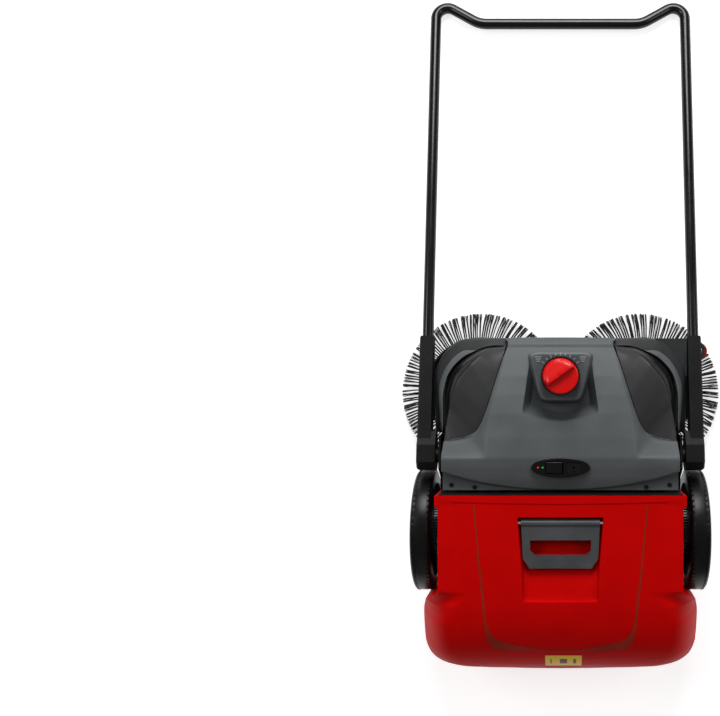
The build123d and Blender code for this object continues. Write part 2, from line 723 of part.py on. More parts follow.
with BuildPart() as support_roller:
    with BuildSketch(across(-SUPPORT_ROLLER_HALF)):
        with Locations((SUPPORT_Y, SUPPORT_ROLLER_R)):
            Circle(SUPPORT_ROLLER_R)
            Circle(3 + RUN_FIT, mode=Mode.SUBTRACT)
    extrude(amount=2 * SUPPORT_ROLLER_HALF)
    fillet(support_roller.edges().filter_by(GeomType.CIRCLE).filter_by(lambda edge: edge.radius > 10), 2)
keep(support_roller, "support_roller")

# --- Switch panel ---------------------------------------------------------------------------------
with BuildPart() as switch_bezel:
    with BuildSketch(Plane.XY.offset(272)):
        with Locations((0, PANEL_Y)):
            Ellipse(PANEL_HALF_LENGTH, PANEL_HALF_WIDTH)
    extrude(amount=14)
    fillet(switch_bezel.faces().sort_by(Axis.Z)[-1].edges(), 1.5)
    with BuildSketch(Plane.XY.offset(272)):
        with Locations((0, PANEL_Y)):
            Ellipse(PANEL_HALF_LENGTH - 2, PANEL_HALF_WIDTH - 2)
    extrude(amount=8, mode=Mode.SUBTRACT)
    with BuildSketch(Plane.XY.offset(272)):
        with Locations((ROCKER_X, PANEL_Y)):
            RectangleRounded(38, 27, 2)
        with Locations((SOCKET_X, PANEL_Y)):
            RectangleRounded(30, 24, 2)
        with Locations((LIGHT_X, PANEL_Y), (LIGHT_X + 10, PANEL_Y)):
            Circle(2.5)
    extrude(amount=20, mode=Mode.SUBTRACT)
keep(switch_bezel, "switch_bezel")

with BuildPart() as status_lights:
    with BuildSketch(Plane.XY.offset(276)):
        with Locations((LIGHT_X, PANEL_Y), (LIGHT_X + 10, PANEL_Y)):
            Circle(2.5)
    extrude(amount=11.5)
    fillet(status_lights.faces().filter_by(Axis.Z).group_by(Axis.Z)[-1].edges(), 2)
keep(status_lights, "status_lights")

ROCKER_Z = 283.0
ROCKER_PIN_R = 2.0
ROCKER_PIN_HALF = 13.0
rocker_plane = Plane(origin=(ROCKER_X, PANEL_Y, ROCKER_Z), x_dir=(0, 1, 0),
                     z_dir=(cos(radians(6)), 0, sin(radians(6))))
with BuildPart() as power_rocker:
    with BuildSketch(rocker_plane.offset(-17)):
        RectangleRounded(24, 8, 1.5)
    extrude(amount=34)
    pin_end = (ROCKER_X, PANEL_Y + ROCKER_PIN_HALF, ROCKER_Z)
    with BuildSketch(Plane(origin=pin_end, x_dir=(1, 0, 0), z_dir=(0, -1, 0))):
        Circle(ROCKER_PIN_R)
    extrude(amount=2 * ROCKER_PIN_HALF)
keep(power_rocker, "power_rocker")

with BuildPart() as charge_socket:
    with BuildSketch(Plane.XY.offset(268)):
        with Locations((SOCKET_X, PANEL_Y)):
            RectangleRounded(30, 24, 2)
    extrude(amount=16)
    with BuildSketch(Plane.XY.offset(284)):
        with Locations((SOCKET_X, PANEL_Y)):
            Circle(8)
    extrude(amount=1.5)
    with BuildSketch(Plane.XY.offset(274)):
        with Locations((SOCKET_X, PANEL_Y)):
            Circle(SOCKET_R)
    extrude(amount=12, mode=Mode.SUBTRACT)
keep(charge_socket, "charge_socket")

with BuildPart() as cover_screws:
    with BuildSketch(Plane.XY.offset(256)):
        with Locations((-235, -343), (-185, -348), (185, -348), (235, -343)):
            Circle(4.5)
    extrude(amount=2.4)
    with BuildSketch(Plane.XY.offset(257)):
        with Locations((-235, -343), (-185, -348), (185, -348), (235, -343)):
            RegularPolygon(2.2, 6)
    extrude(amount=2, mode=Mode.SUBTRACT)
keep(cover_screws, "cover_screws")

# --- Side guide roller on its bracket at the right front corner -----------------------------------
GUIDE_X = 321.0
GUIDE_Y = -50.5
GUIDE_R = 19.5
GUIDE_PIN_R = 4.0

with BuildPart() as roller_bracket:
    with BuildSketch(Plane.XY.offset(RIM_TOP)):
        Polygon((214, -24), (284, -24), (284, -110), (266, -98), (214, -56), align=None)
        make_face(crescent_outline(1, -0.5), mode=Mode.SUBTRACT)
    extrude(amount=4)
    with BuildSketch(Plane.XY.offset(106)):
        Polygon((266, -50), (266, -24), (284, -24), (284, -50), align=None)
    extrude(amount=RIM_TOP - 106)
    with BuildSketch(Plane.XY.offset(106)):
        Polygon((270, -72), (270, -24), (321, -26), (334, -40), (334, -61), (321, -72), align=None)
        with Locations((197, -107.5)):
            Circle(86.5, mode=Mode.SUBTRACT)
    extrude(amount=5)
    with BuildSketch(Plane.XY.offset(70)):
        with Locations((GUIDE_X, GUIDE_Y)):
            Circle(GUIDE_PIN_R)
    extrude(amount=36)
    with BuildSketch(Plane.XY.offset(69)):
        with Locations((GUIDE_X, GUIDE_Y)):
            Circle(GUIDE_PIN_R + 4)
    extrude(amount=2)
keep(roller_bracket, "roller_bracket")

with BuildPart() as guide_roller:
    with BuildSketch(Plane.XY.offset(71.5)):
        with Locations((GUIDE_X, GUIDE_Y)):
            Circle(GUIDE_R)
    extrude(amount=33)
    fillet(guide_roller.edges(), 4)
    with BuildSketch(Plane.XY.offset(71)):
        with Locations((GUIDE_X, GUIDE_Y)):
            Circle(GUIDE_PIN_R + RUN_FIT)
    extrude(amount=40, mode=Mode.SUBTRACT)
keep(guide_roller, "guide_roller")

# --- Handle: bent steel tube in two plastic side arms ---------------------------------------------
PEAK_REACH = FRONT_Y - TUBE_R - PIVOT_Y
DROOP = atan2(PIVOT_Z - TUBE_R, PEAK_REACH)
CORNER_TURN = radians(90) + atan2(GRIP_SET_BACK, LEG_X - GRIP_BEND_X)
CORNER_U = PEAK_REACH / cos(DROOP) + CORNER_BEND_R * (tan(CORNER_TURN / 2) - 1)
GRIP_U = CORNER_U - GRIP_SET_BACK
TUBE_START_U = 62.0
ARM_OUT_X = 316.0
ARM_FRONT_IN_X = 286.0
ARM_FRONT_U = 267.0
ARM_BORE_R = TUBE_R + 0.1

handle_plane = Plane(origin=(0, PIVOT_Y, PIVOT_Z), x_dir=(1, 0, 0), z_dir=(0, sin(DROOP), cos(DROOP)))

with BuildPart() as handle_tube:
    with BuildLine(handle_plane) as tube_path:
        FilletPolyline((0, GRIP_U), (GRIP_BEND_X, GRIP_U), (LEG_X, CORNER_U), (LEG_X, TUBE_START_U),
                       radius=[GRIP_BEND_R, CORNER_BEND_R])
    tube_middle = Plane(origin=tube_path.line @ 0, z_dir=(1, 0, 0))
    with BuildSketch(tube_middle):
        Circle(TUBE_R)
    sweep(path=tube_path.line)
    with BuildSketch(tube_middle):
        Circle(TUBE_R - TUBE_WALL)
    sweep(path=tube_path.line, mode=Mode.SUBTRACT)
    mirror(about=Plane.YZ)
keep(handle_tube, "handle_tube")


def arm_plane(x):
    """Plane across the machine at x; its local x runs out along the handle."""
    return Plane(origin=(x, PIVOT_Y, PIVOT_Z), x_dir=handle_plane.y_dir, z_dir=(1, 0, 0))


SCREW_US = (95.0, 235.0)

for side_name, side in SIDES:
    front_low = min(side * ARM_FRONT_IN_X, side * ARM_OUT_X)
    rear_low = min(side * ARM_IN_X, side * ARM_OUT_X)
    with BuildPart() as arm:
        with BuildSketch(arm_plane(front_low)):
            with BuildLine():
                Polyline((-6, -24), (60, -22), (ARM_FRONT_U, -17), (ARM_FRONT_U, 17), (60, 22), (-6, 24),
                         close=True)
            make_face()
        extrude(amount=ARM_OUT_X - ARM_FRONT_IN_X)
        with BuildSketch(arm_plane(rear_low)):
            with BuildLine():
                Polyline((-33, -16), (-33, 16), (-18, 30), (20, 30), (52, 14), (52, -14), (20, -30), (-18, -30),
                         close=True)
            make_face()
        extrude(amount=ARM_OUT_X - ARM_IN_X)
        outer_face = arm.faces().filter_by(Axis.X).sort_by(Axis.X)[-1 if side > 0 else 0]
        chamfer(outer_face.edges(), 3)
        with BuildSketch(handle_plane):
            with Locations((side * LEG_X, (ARM_FRONT_U + 60) / 2)):
                Rectangle(ARM_BORE_R, ARM_FRONT_U - 58, align=(Align.MIN, Align.CENTER))
        revolve(axis=Axis(handle_plane.from_local_coords((side * LEG_X, 0, 0)), handle_plane.y_dir),
                mode=Mode.SUBTRACT)
        with BuildSketch(arm_plane(min(side * ARM_IN_X, side * 313.5))):
            Circle(PIVOT_PIN_R + RUN_FIT)
        extrude(amount=313.5 - ARM_IN_X, mode=Mode.SUBTRACT)
    keep(arm, f"{side_name}_arm")

with BuildPart() as handle_screws:
    for _, side in SIDES:
        with BuildSketch(arm_plane(min(side * ARM_OUT_X, side * (ARM_OUT_X + 2.5)))):
            with Locations(*[(u, 0) for u in SCREW_US]):
                Circle(5)
                RegularPolygon(2.4, 6, mode=Mode.SUBTRACT)
        extrude(amount=2.5)
keep(handle_screws, "handle_screws")

# --- Dirt container: red shell that slides out between the wheels ---------------------------------
LIP_HALF = 270.0
LIP_REAR = -398.5
FLARE_FRONT = -566.0
FLARE_REAR = -634.0
NOTCH_REAR = ROLLER_Y - ROLLER_R - 8
NOTCH_TOP = 104.0
HINGE_Y = -422.0
HINGE_Z = 279.0
HINGE_R = 8.0
GRIP_PIN_R = 3.0
POCKET_FLOOR = 250.0


def container_outline(inset=0.0):
    """Plan of the container: narrow between the wheels, wide behind them, rounded and bowed at the rear."""
    half = CONTAINER_HALF - inset
    flare_half = CONTAINER_FLARE_HALF - inset
    front = CONTAINER_FRONT - inset
    rear = REAR_Y + inset
    corner_y = REAR_Y + 76
    with BuildSketch() as plan:
        with BuildLine():
            right = Polyline((half, front), (half, FLARE_FRONT - inset), (flare_half, FLARE_REAR - inset),
                             (flare_half, corner_y))
            right_corner = Spline(right @ 1, (flare_half - 22, corner_y - 45 + inset / 2), (244, rear + 10),
                                  tangents=[(0, -1), (-1, -0.1)])
            bow = ThreePointArc(right_corner @ 1, (0, rear), (-244, rear + 10))
            left = Polyline((-half, front), (-half, FLARE_FRONT - inset), (-flare_half, FLARE_REAR - inset),
                            (-flare_half, corner_y))
            Spline(left @ 1, (-flare_half + 22, corner_y - 45 + inset / 2), bow @ 1,
                   tangents=[(0, -1), (1, -0.1)])
            Line(right @ 0, left @ 0)
        make_face()
        flare_corners = [v for v in plan.vertices() if FLARE_REAR - inset - 1 < v.Y < FLARE_FRONT - inset + 1]
        fillet(flare_corners, 28)
    return plan.sketch


def container_profile(inset=0.0):
    """Side profile of the container: nearly level top that rolls down to the rear, 2 mm past the plan."""
    front_y = CONTAINER_FRONT - inset
    with BuildLine() as line:
        front = Line((front_y, CONTAINER_BOTTOM + inset), (front_y, CONTAINER_TOP - inset))
        top = Spline(front @ 1, (-600, 284 - inset), (-688, 262 - inset),
                     (-744 + inset * 0.7, 214 - inset * 0.7), (-776 + inset, 140), (REAR_Y - 2 + inset, 76),
                     tangents=[(-1, 0), (0, -1)])
        Polyline(top @ 1, (REAR_Y + 4 + inset, 52), (REAR_Y + 24 + inset, CONTAINER_BOTTOM + inset),
                 front @ 0)
    return line.line


def container_section(inset=0.0):
    """Section across the container: upright low down, leaning in higher up, rounded into the top."""
    half = CONTAINER_FLARE_HALF - inset
    lean_top = (290 - inset, 240)
    crown = CONTAINER_TOP + 8 - inset
    with BuildLine() as line:
        for sign in (1, -1):
            side_wall = Polyline((sign * half, 0), (sign * half, 125), (sign * lean_top[0], lean_top[1]))
            shoulder = (sign * (274 - inset), 273 - inset / 2)
            ThreePointArc(side_wall @ 1, shoulder, (sign * (234 - inset), crown))
        Line((234 - inset, crown), (-234 + inset, crown))
        Line((half, 0), (-half, 0))
    return line.line


def container_block(inset=0.0):
    """The container's outer form, or the space inside it when inset by one wall."""
    with BuildPart() as block:
        with BuildSketch(across(-CONTAINER_FLARE_HALF)):
            make_face(container_profile(inset))
        extrude(amount=2 * CONTAINER_FLARE_HALF)
        with BuildSketch(Plane.XY):
            add(container_outline(inset))
        extrude(amount=400, mode=Mode.INTERSECT)
        with BuildSketch(Plane.XZ.offset(300)):
            make_face(container_section(inset))
        extrude(amount=600, mode=Mode.INTERSECT)
    return block.part


def grip_pocket(grow):
    """The pocket that the grip lies in; grow adds a wall around and under it."""
    with BuildPart() as pocket:
        with BuildSketch(Plane.XY.offset(POCKET_FLOOR - grow)):
            with BuildLine():
                Polyline((-87 - grow, -415 + grow), (87 + grow, -415 + grow), (74 + grow, -576 - grow),
                         (-74 - grow, -576 - grow), close=True)
            make_face()
        with BuildSketch(Plane.XY.offset(CONTAINER_TOP + 10)):
            with BuildLine():
                Polyline((-92 - grow, -408 + grow), (92 + grow, -408 + grow), (79 + grow, -600 - grow),
                         (-79 - grow, -600 - grow), close=True)
            make_face()
        loft()
    return pocket.part


outer_form = container_block()
inner_form = container_block(CONTAINER_WALL)

with BuildPart() as groove_ring:
    with BuildSketch(Plane.XY.offset(150)):
        for sign, grow in ((1, 0), (-1, 7)):
            with BuildSketch(mode=Mode.PRIVATE) as ring_edge:
                Polygon((-186 + grow, -372), (186 - grow, -372), (157 - grow, -722 + grow),
                        (-157 + grow, -722 + grow), align=None)
                fillet(ring_edge.vertices().sort_by(Axis.Y)[:2], 30 - grow)
            add(ring_edge.sketch, mode=Mode.ADD if sign > 0 else Mode.SUBTRACT)
    extrude(amount=160)
groove_cut = groove_ring.part & (outer_form - outer_form.moved(Location((0, 0, -1.8))))

with BuildPart() as dirt_container:
    add(outer_form)
    with BuildSketch(Plane.XY.offset(CONTAINER_TOP - 16)):
        with Locations((0, (CONTAINER_FRONT + LIP_REAR) / 2)):
            RectangleRounded(2 * LIP_HALF, CONTAINER_FRONT - LIP_REAR, 4)
    extrude(amount=15)
    add(inner_form, mode=Mode.SUBTRACT)
    add(grip_pocket(CONTAINER_WALL) & outer_form)
    add(grip_pocket(0), mode=Mode.SUBTRACT)
    add(groove_cut, mode=Mode.SUBTRACT)
    with BuildSketch(Plane.XY):
        with Locations((0, (CONTAINER_FRONT + NOTCH_REAR) / 2 + 5)):
            Rectangle(2 * CONTAINER_HALF + 10, CONTAINER_FRONT - NOTCH_REAR + 10)
    extrude(amount=NOTCH_TOP, mode=Mode.SUBTRACT)
    with BuildSketch(across(-94)):
        with Locations((HINGE_Y, HINGE_Z)):
            Circle(GRIP_PIN_R)
    extrude(amount=188, mode=Mode.SUBTRACT)
keep(dirt_container, "dirt_container")

with BuildPart() as grip_pin:
    with BuildSketch(across(-94)):
        with Locations((HINGE_Y, HINGE_Z)):
            Circle(GRIP_PIN_R)
    extrude(amount=188)
keep(grip_pin, "grip_pin")

with BuildPart() as container_grip:
    with BuildSketch(across(-84)):
        with Locations((HINGE_Y, HINGE_Z)):
            Circle(HINGE_R)
    extrude(amount=168)
    with BuildSketch(Plane.XY.offset(HINGE_Z - 3.5)):
        Polygon((-84, HINGE_Y), (84, HINGE_Y), (80, -497), (66, -518), (-66, -518), (-80, -497), align=None)
        Polygon((-65, -458), (65, -458), (65, -480), (55, -490), (-55, -490), (-65, -480), align=None,
                mode=Mode.SUBTRACT)
    extrude(amount=8)
    with BuildSketch(across(-84)):
        with Locations((HINGE_Y, HINGE_Z)):
            Circle(GRIP_PIN_R + RUN_FIT)
    extrude(amount=168, mode=Mode.SUBTRACT)
keep(container_grip, "container_grip")

with BuildPart() as sticker_area:
    with BuildSketch(Plane.XY.offset(100)):
        with Locations((6, -735.5)):
            RectangleRounded(80, 27, 2)
    extrude(amount=200)
sticker_skin = sticker_area.part & (outer_form.moved(Location((0, 0, 0.6))) - outer_form)
with BuildPart() as container_sticker:
    add(sticker_skin)
keep(container_sticker, "container_sticker")
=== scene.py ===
from math import cos, pi, radians, sin
from random import Random

import bpy
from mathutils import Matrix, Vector


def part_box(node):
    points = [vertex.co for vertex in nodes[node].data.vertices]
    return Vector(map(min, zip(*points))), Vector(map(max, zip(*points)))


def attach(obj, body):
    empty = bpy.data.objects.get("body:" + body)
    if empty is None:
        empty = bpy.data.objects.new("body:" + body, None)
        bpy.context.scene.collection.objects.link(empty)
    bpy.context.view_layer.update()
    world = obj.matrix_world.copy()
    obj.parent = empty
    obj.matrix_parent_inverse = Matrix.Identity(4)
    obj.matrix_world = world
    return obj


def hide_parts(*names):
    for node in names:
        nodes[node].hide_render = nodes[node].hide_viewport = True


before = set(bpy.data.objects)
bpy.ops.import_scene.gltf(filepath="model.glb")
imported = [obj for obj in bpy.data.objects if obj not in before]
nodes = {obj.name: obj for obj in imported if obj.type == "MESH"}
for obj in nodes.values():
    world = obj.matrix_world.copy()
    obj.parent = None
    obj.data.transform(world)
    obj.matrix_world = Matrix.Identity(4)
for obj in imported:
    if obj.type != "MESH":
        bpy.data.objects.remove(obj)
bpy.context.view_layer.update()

# ---------------------------------------------------------------------------------------------------
# Camera. It hangs straight above the height knob, 2.27 m over the floor, and its lens is shifted
# sideways so that the sweeper stands to the right of the middle.
VIEW_HEIGHT = 2.27
IMAGE_WIDTH = 720
knob_low, knob_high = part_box("height_knob")
knob_centre = (knob_low + knob_high) / 2

bpy.ops.object.camera_add(location=(knob_centre.x, knob_centre.y, VIEW_HEIGHT), rotation=(0, 0, 0))
camera = bpy.context.object
camera.name = "view_camera"
camera.data.lens = 46.7
camera.data.sensor_width = 36.0
camera.data.shift_x = -200.5 / IMAGE_WIDTH
camera.data.shift_y = 18.0 / IMAGE_WIDTH
camera.data.clip_start = 0.05
camera.data.clip_end = 30.0
bpy.context.scene.camera = camera

# ---------------------------------------------------------------------------------------------------
# Studio. A pale seamless floor, soft lamps at both sides, a strong one in front that lights the slopes
# facing forwards, and a very dim one behind.
FLOOR_HALF = 9.0
bpy.ops.mesh.primitive_plane_add(size=2 * FLOOR_HALF, location=(0, 0, -0.0006))
floor = bpy.context.object
floor.name = "studio_floor"
floor_paint = bpy.data.materials.new("studio_floor_paint")
floor_paint.use_nodes = True
floor_shader = floor_paint.node_tree.nodes["Principled BSDF"]
floor_shader.inputs["Base Color"].default_value = (0.60, 0.60, 0.60, 1)
floor_shader.inputs["Roughness"].default_value = 0.9
floor_shader.inputs["Specular IOR Level"].default_value = 0.1
floor_shader.inputs["Emission Color"].default_value = (1, 1, 1, 1)
floor_shader.inputs["Emission Strength"].default_value = 0.74
floor.data.materials.append(floor_paint)

bpy.context.scene.view_settings.view_transform = "Standard"
world = bpy.data.worlds.new("studio_air")
bpy.context.scene.world = world
world.use_nodes = True
world.node_tree.nodes["Background"].inputs["Color"].default_value = (1, 1, 1, 1)
world.node_tree.nodes["Background"].inputs["Strength"].default_value = 0.18


def soft_lamp(name, place, aim, size, power):
    """A square soft box at a place, turned towards a point."""
    bpy.ops.object.light_add(type="AREA", location=place)
    lamp = bpy.context.object
    lamp.name = name
    lamp.data.shape = "SQUARE"
    lamp.data.size = size
    lamp.data.energy = power
    lamp.rotation_euler = (Vector(aim) - Vector(place)).to_track_quat("-Z", "Y").to_euler()
    return lamp


soft_lamp("lamp_left", (-2.4, 0.8, 2.6), (0, -0.2, 0.1), 1.2, 30)
soft_lamp("lamp_right", (2.4, 0.5, 2.4), (0, -0.2, 0.1), 1.2, 18)
soft_lamp("lamp_front", (0.0, 2.6, 2.0), (0, -0.2, 0.2), 1.6, 100)
soft_lamp("lamp_back", (-0.4, -3.0, 1.6), (0, -0.4, 0.2), 1.2, 1.5)


# ---------------------------------------------------------------------------------------------------
# Lower housing, side plates and side arms. They are injection moulded in black polypropylene with a
# fine spark-eroded grain, and every other plastic part is finished in the same way in its own colour.
class Socket:
    """A socket of a material, so that shader maths reads as arithmetic."""

    def __init__(self, tree, link):
        self.tree = tree
        self.link = link

    def node(self, kind, settings=None, inputs=None, output=0):
        """Adds a node of a kind, sets it up, fills its inputs and returns one of its outputs."""
        added = self.tree.nodes.new(kind)
        for name, value in (settings or {}).items():
            if name == "stops":
                added.color_ramp.elements[0].position, added.color_ramp.elements[0].color = value[0]
                added.color_ramp.elements[1].position, added.color_ramp.elements[1].color = value[-1]
                for place, colour in value[1:-1]:
                    added.color_ramp.elements.new(place).color = colour
            else:
                setattr(added, name, value)
        for name, value in (inputs or {}).items():
            if isinstance(value, Socket):
                self.tree.links.new(value.link, added.inputs[name])
            else:
                added.inputs[name].default_value = value
        return Socket(self.tree, added.outputs[output])

    def maths(self, operation, first, second=0.0):
        return self.node("ShaderNodeMath", {"operation": operation}, {0: first, 1: second})

    def __add__(self, other):
        return self.maths("ADD", self, other)

    __radd__ = __add__

    def __sub__(self, other):
        return self.maths("SUBTRACT", self, other)

    def __rsub__(self, other):
        return self.maths("SUBTRACT", other, self)

    def __mul__(self, other):
        return self.maths("MULTIPLY", self, other)

    __rmul__ = __mul__

    def __truediv__(self, other):
        return self.maths("DIVIDE", self, other)

    def above(self, level):
        return self.maths("GREATER_THAN", self, level)

    def fade(self, low, high):
        """0 below low, 1 above high and smooth between."""
        return self.node("ShaderNodeMapRange", {"interpolation_type": "SMOOTHSTEP"},
                         {"Value": self, "From Min": low, "From Max": high})

    def tint(self, dark, light):
        """The colour dark where this value is 0 and light where it is 1."""
        return self.node("ShaderNodeMix", {"data_type": "RGBA"},
                         {"Factor": self, "A": tuple(dark) + (1,), "B": tuple(light) + (1,)}, output=2)

    def feed(self, shader, name):
        self.tree.links.new(self.link, shader.inputs[name])


def new_finish(name):
    """An empty material, its shader, and the place on the piece in metres."""
    material = bpy.data.materials.new(name)
    material.use_nodes = True
    tree = material.node_tree
    shader = tree.nodes["Principled BSDF"]
    coordinates = tree.nodes.new("ShaderNodeTexCoord")
    return material, shader, Socket(tree, coordinates.outputs["Object"])


def noise(at, size, detail=2.0):
    """Cloudy values around 0.5 whose blotches are about size metres across."""
    return at.node("ShaderNodeTexNoise", {}, {"Vector": at, "Scale": 1 / size, "Detail": detail})


def moulded(name, colour, roughness, grain=0.0009, depth=0.10, spread=0.16, dust=0.0, shine=0.3):
    """Moulded plastic: spark-eroded grain, uneven gloss, faint handling scuffs and a little dust."""
    material, shader, at = new_finish(name)
    cloud = noise(at, 0.07, 4.0)
    streak = noise(at.node("ShaderNodeMapping", {}, {"Vector": at, "Scale": (1.0, 6.0, 3.0)}), 0.012, 3.0)
    scuff = streak.fade(0.60, 0.72)
    dark = tuple(c * (1 - spread) for c in colour)
    light = tuple(min(1.0, c * (1 + spread)) for c in colour)
    base = cloud.fade(0.3, 0.7).tint(dark, light)
    if dust:
        speck = noise(at, 0.0016, 2.0).fade(0.58, 0.70) * noise(at, 0.05, 2.0).fade(0.40, 0.62)
        base = at.node("ShaderNodeMix", {"data_type": "RGBA"},
                       {"Factor": speck * dust, "A": base, "B": (0.32, 0.31, 0.29, 1)}, output=2)
    base.feed(shader, "Base Color")
    (roughness + (cloud - 0.5) * 0.16 + scuff * 0.07).feed(shader, "Roughness")
    bumps = {"Height": noise(at, grain, 1.0), "Strength": depth, "Distance": 0.0003}
    at.node("ShaderNodeBump", {}, bumps).feed(shader, "Normal")
    shader.inputs["Specular IOR Level"].default_value = shine
    return material


def dress(material, *names):
    """Gives CAD nodes a finish."""
    for name in names:
        mesh = nodes[name].data
        mesh.materials.clear()
        mesh.materials.append(material)


def both(*names):
    """The left and the right node of each name."""
    return [f"{side}_{name}" for name in names for side in ("left", "right")]


black_plastic = moulded("black_plastic", (0.0045, 0.0045, 0.0048), 0.50, dust=0.05, shine=0.16)
dress(black_plastic, "lower_housing", "support_fork", "lift_yoke", "charge_socket", "knob_ring",
      "roller_shaft", *both("side_plate", "arm", "brush_plate"))

gloss_black_plastic = moulded("gloss_black_plastic", (0.004, 0.004, 0.0045), 0.22, grain=0.004, depth=0.03,
                              shine=0.25)
dress(gloss_black_plastic, "switch_bezel", "power_rocker")
grip_grey_plastic = moulded("grip_grey_plastic", (0.055, 0.058, 0.062), 0.42)
dress(grip_grey_plastic, "container_grip")
rim_plastic = moulded("rim_plastic", (0.012, 0.013, 0.015), 0.18, grain=0.004, depth=0.03)
dress(rim_plastic, *both("rim", "hub_cap", "wheel_gear"))
tube_black = moulded("tube_black", (0.003, 0.003, 0.0033), 0.22, grain=0.002, depth=0.03, shine=0.35)
dress(tube_black, "handle_tube", "cover_screws")
nylon_white = moulded("nylon_white", (0.62, 0.60, 0.54), 0.5)
dress(nylon_white, "roller_pinion", *both("gearbox"))
battery_blue = moulded("battery_blue", (0.03, 0.06, 0.16), 0.35)
dress(battery_blue, "battery_pack")
board_green = moulded("board_green", (0.02, 0.14, 0.06), 0.35)
dress(board_green, "control_board")
light_lens, lens_shader, at = new_finish("light_lens")
across = at.node("ShaderNodeSeparateXYZ", {}, {"Vector": at})
across.above(-0.043).tint((0.60, 0.010, 0.008), (0.02, 0.30, 0.04)).feed(lens_shader, "Base Color")
lens_shader.inputs["Roughness"].default_value = 0.2
dress(light_lens, "status_lights")
steel = moulded("steel", (0.50, 0.50, 0.51), 0.32)
dress(steel, "cross_shaft", "height_spindle", "grip_pin", "handle_screws", "drive_motor",
      *both("stub_axle", "pivot_pin", "brush_spindle"))

# ---------------------------------------------------------------------------------------------------
# Disc brush bristles. Black nylon tufts are stapled round the rim of each plate and splay out to the
# floor; the plates lean forwards, so only the front of each brush touches down.
BRUSH_LEAN = radians(3.5)
BRUSH_R = 0.190
BRUSH_X = 0.192
BRUSH_Y = -0.1465
BRUSH_LIFT = BRUSH_R * sin(BRUSH_LEAN) + 0.0015
FILAMENT_WIDTH = 0.0017
TUFT_ROOT_R = 0.116
TUFT_ROOT_HEIGHT = 0.0595
TUFT_PITCH = 0.0076
FILAMENTS = 15
chance = Random(5)


def filaments(name, paths, width):
    """One mesh of thin three-sided filaments, each along its path and slimmer at its tip."""
    points = []
    faces = []
    for path in paths:
        start = len(points)
        along = (path[-1] - path[0]).normalized()
        first = along.orthogonal().normalized()
        second = along.cross(first)
        for step, place in enumerate(path):
            radius = width * (0.5 - 0.2 * step / (len(path) - 1))
            for corner in range(3):
                angle = 2 * pi * corner / 3
                points.append(place + (first * cos(angle) + second * sin(angle)) * radius)
        for step in range(len(path) - 1):
            for corner in range(3):
                low = start + 3 * step
                following = (corner + 1) % 3
                faces.append((low + corner, low + following, low + 3 + following, low + 3 + corner))
        faces.append((start + 2, start + 1, start))
        faces.append((len(points) - 3, len(points) - 2, len(points) - 1))
    mesh = bpy.data.meshes.new(name)
    mesh.from_pydata(points, [], faces)
    piece = bpy.data.objects.new(name, mesh)
    bpy.context.collection.objects.link(piece)
    return piece


def brush_point(side, radius, angle, height):
    """A point round a disc brush's leaning axis, at a height above the tips of its bristles."""
    ahead = radius * sin(angle)
    return Vector((side * BRUSH_X + radius * cos(angle),
                   BRUSH_Y + ahead * cos(BRUSH_LEAN) + height * sin(BRUSH_LEAN),
                   BRUSH_LIFT - ahead * sin(BRUSH_LEAN) + height * cos(BRUSH_LEAN)))


bristle_black = moulded("bristle_black", (0.003, 0.003, 0.0033), 0.46, shine=0.2)
tufts = round(2 * pi * BRUSH_R / TUFT_PITCH)
for side_name, side in (("left", -1), ("right", 1)):
    paths = []
    for tuft in range(tufts):
        middle = 2 * pi * (tuft + chance.uniform(-0.16, 0.16)) / tufts
        sweep = chance.gauss(0, 0.012)
        for _ in range(FILAMENTS):
            root = middle + chance.uniform(-0.010, 0.010)
            tip = middle + sweep + chance.gauss(0, 0.0085)
            reach = BRUSH_R - abs(chance.gauss(0, 0.003))
            rise = abs(chance.gauss(0, 0.004))
            root_r = TUFT_ROOT_R + chance.uniform(-0.004, 0.004)
            bend_r = root_r + 0.55 * (reach - root_r)
            paths.append([brush_point(side, root_r, root, TUFT_ROOT_HEIGHT),
                          brush_point(side, bend_r, (root + tip) / 2, 0.036 + rise / 2),
                          brush_point(side, reach, tip, rise)])
    bristles = filaments(f"{side_name}_disc_bristles", paths, FILAMENT_WIDTH)
    bristles.data.materials.append(bristle_black)
    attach(bristles, f"{side_name}_brush")
    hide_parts(f"{side_name}_brush_bristles")

# ---------------------------------------------------------------------------------------------------
# Roller brush bristles. Six rows of tufts wind along the shaft and sweep dirt up into the container.
ROLLER_HALF = 0.248
ROLLER_CORE_R = 0.0145
ROLLER_R = 0.0455
ROLLER_ROWS = 6
ROLLER_PITCH = 0.008
roller_low, roller_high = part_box("roller_bristles")
roller_y = (roller_low.y + roller_high.y) / 2
roller_z = (roller_low.z + roller_high.z) / 2


def roller_point(along, radius, turn):
    """A point round the roller brush's shaft, which runs along X."""
    return Vector((along, roller_y + radius * cos(turn), roller_z + radius * sin(turn)))


paths = []
for row in range(ROLLER_ROWS):
    for tuft in range(round(2 * ROLLER_HALF / ROLLER_PITCH)):
        along = -ROLLER_HALF + (tuft + 0.5) * ROLLER_PITCH
        wind = 2 * pi * row / ROLLER_ROWS + 1.6 * along / ROLLER_HALF
        for _ in range(6):
            turn = wind + chance.gauss(0, 0.06)
            shift = along + chance.gauss(0, 0.0016)
            reach = ROLLER_R - abs(chance.gauss(0, 0.0008))
            paths.append([roller_point(along, ROLLER_CORE_R, wind), roller_point(shift, reach, turn)])
roller_tufts = filaments("roller_tufts", paths, 0.0013)
roller_tufts.data.materials.append(bristle_black)
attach(roller_tufts, "roller_brush")
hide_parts("roller_bristles")

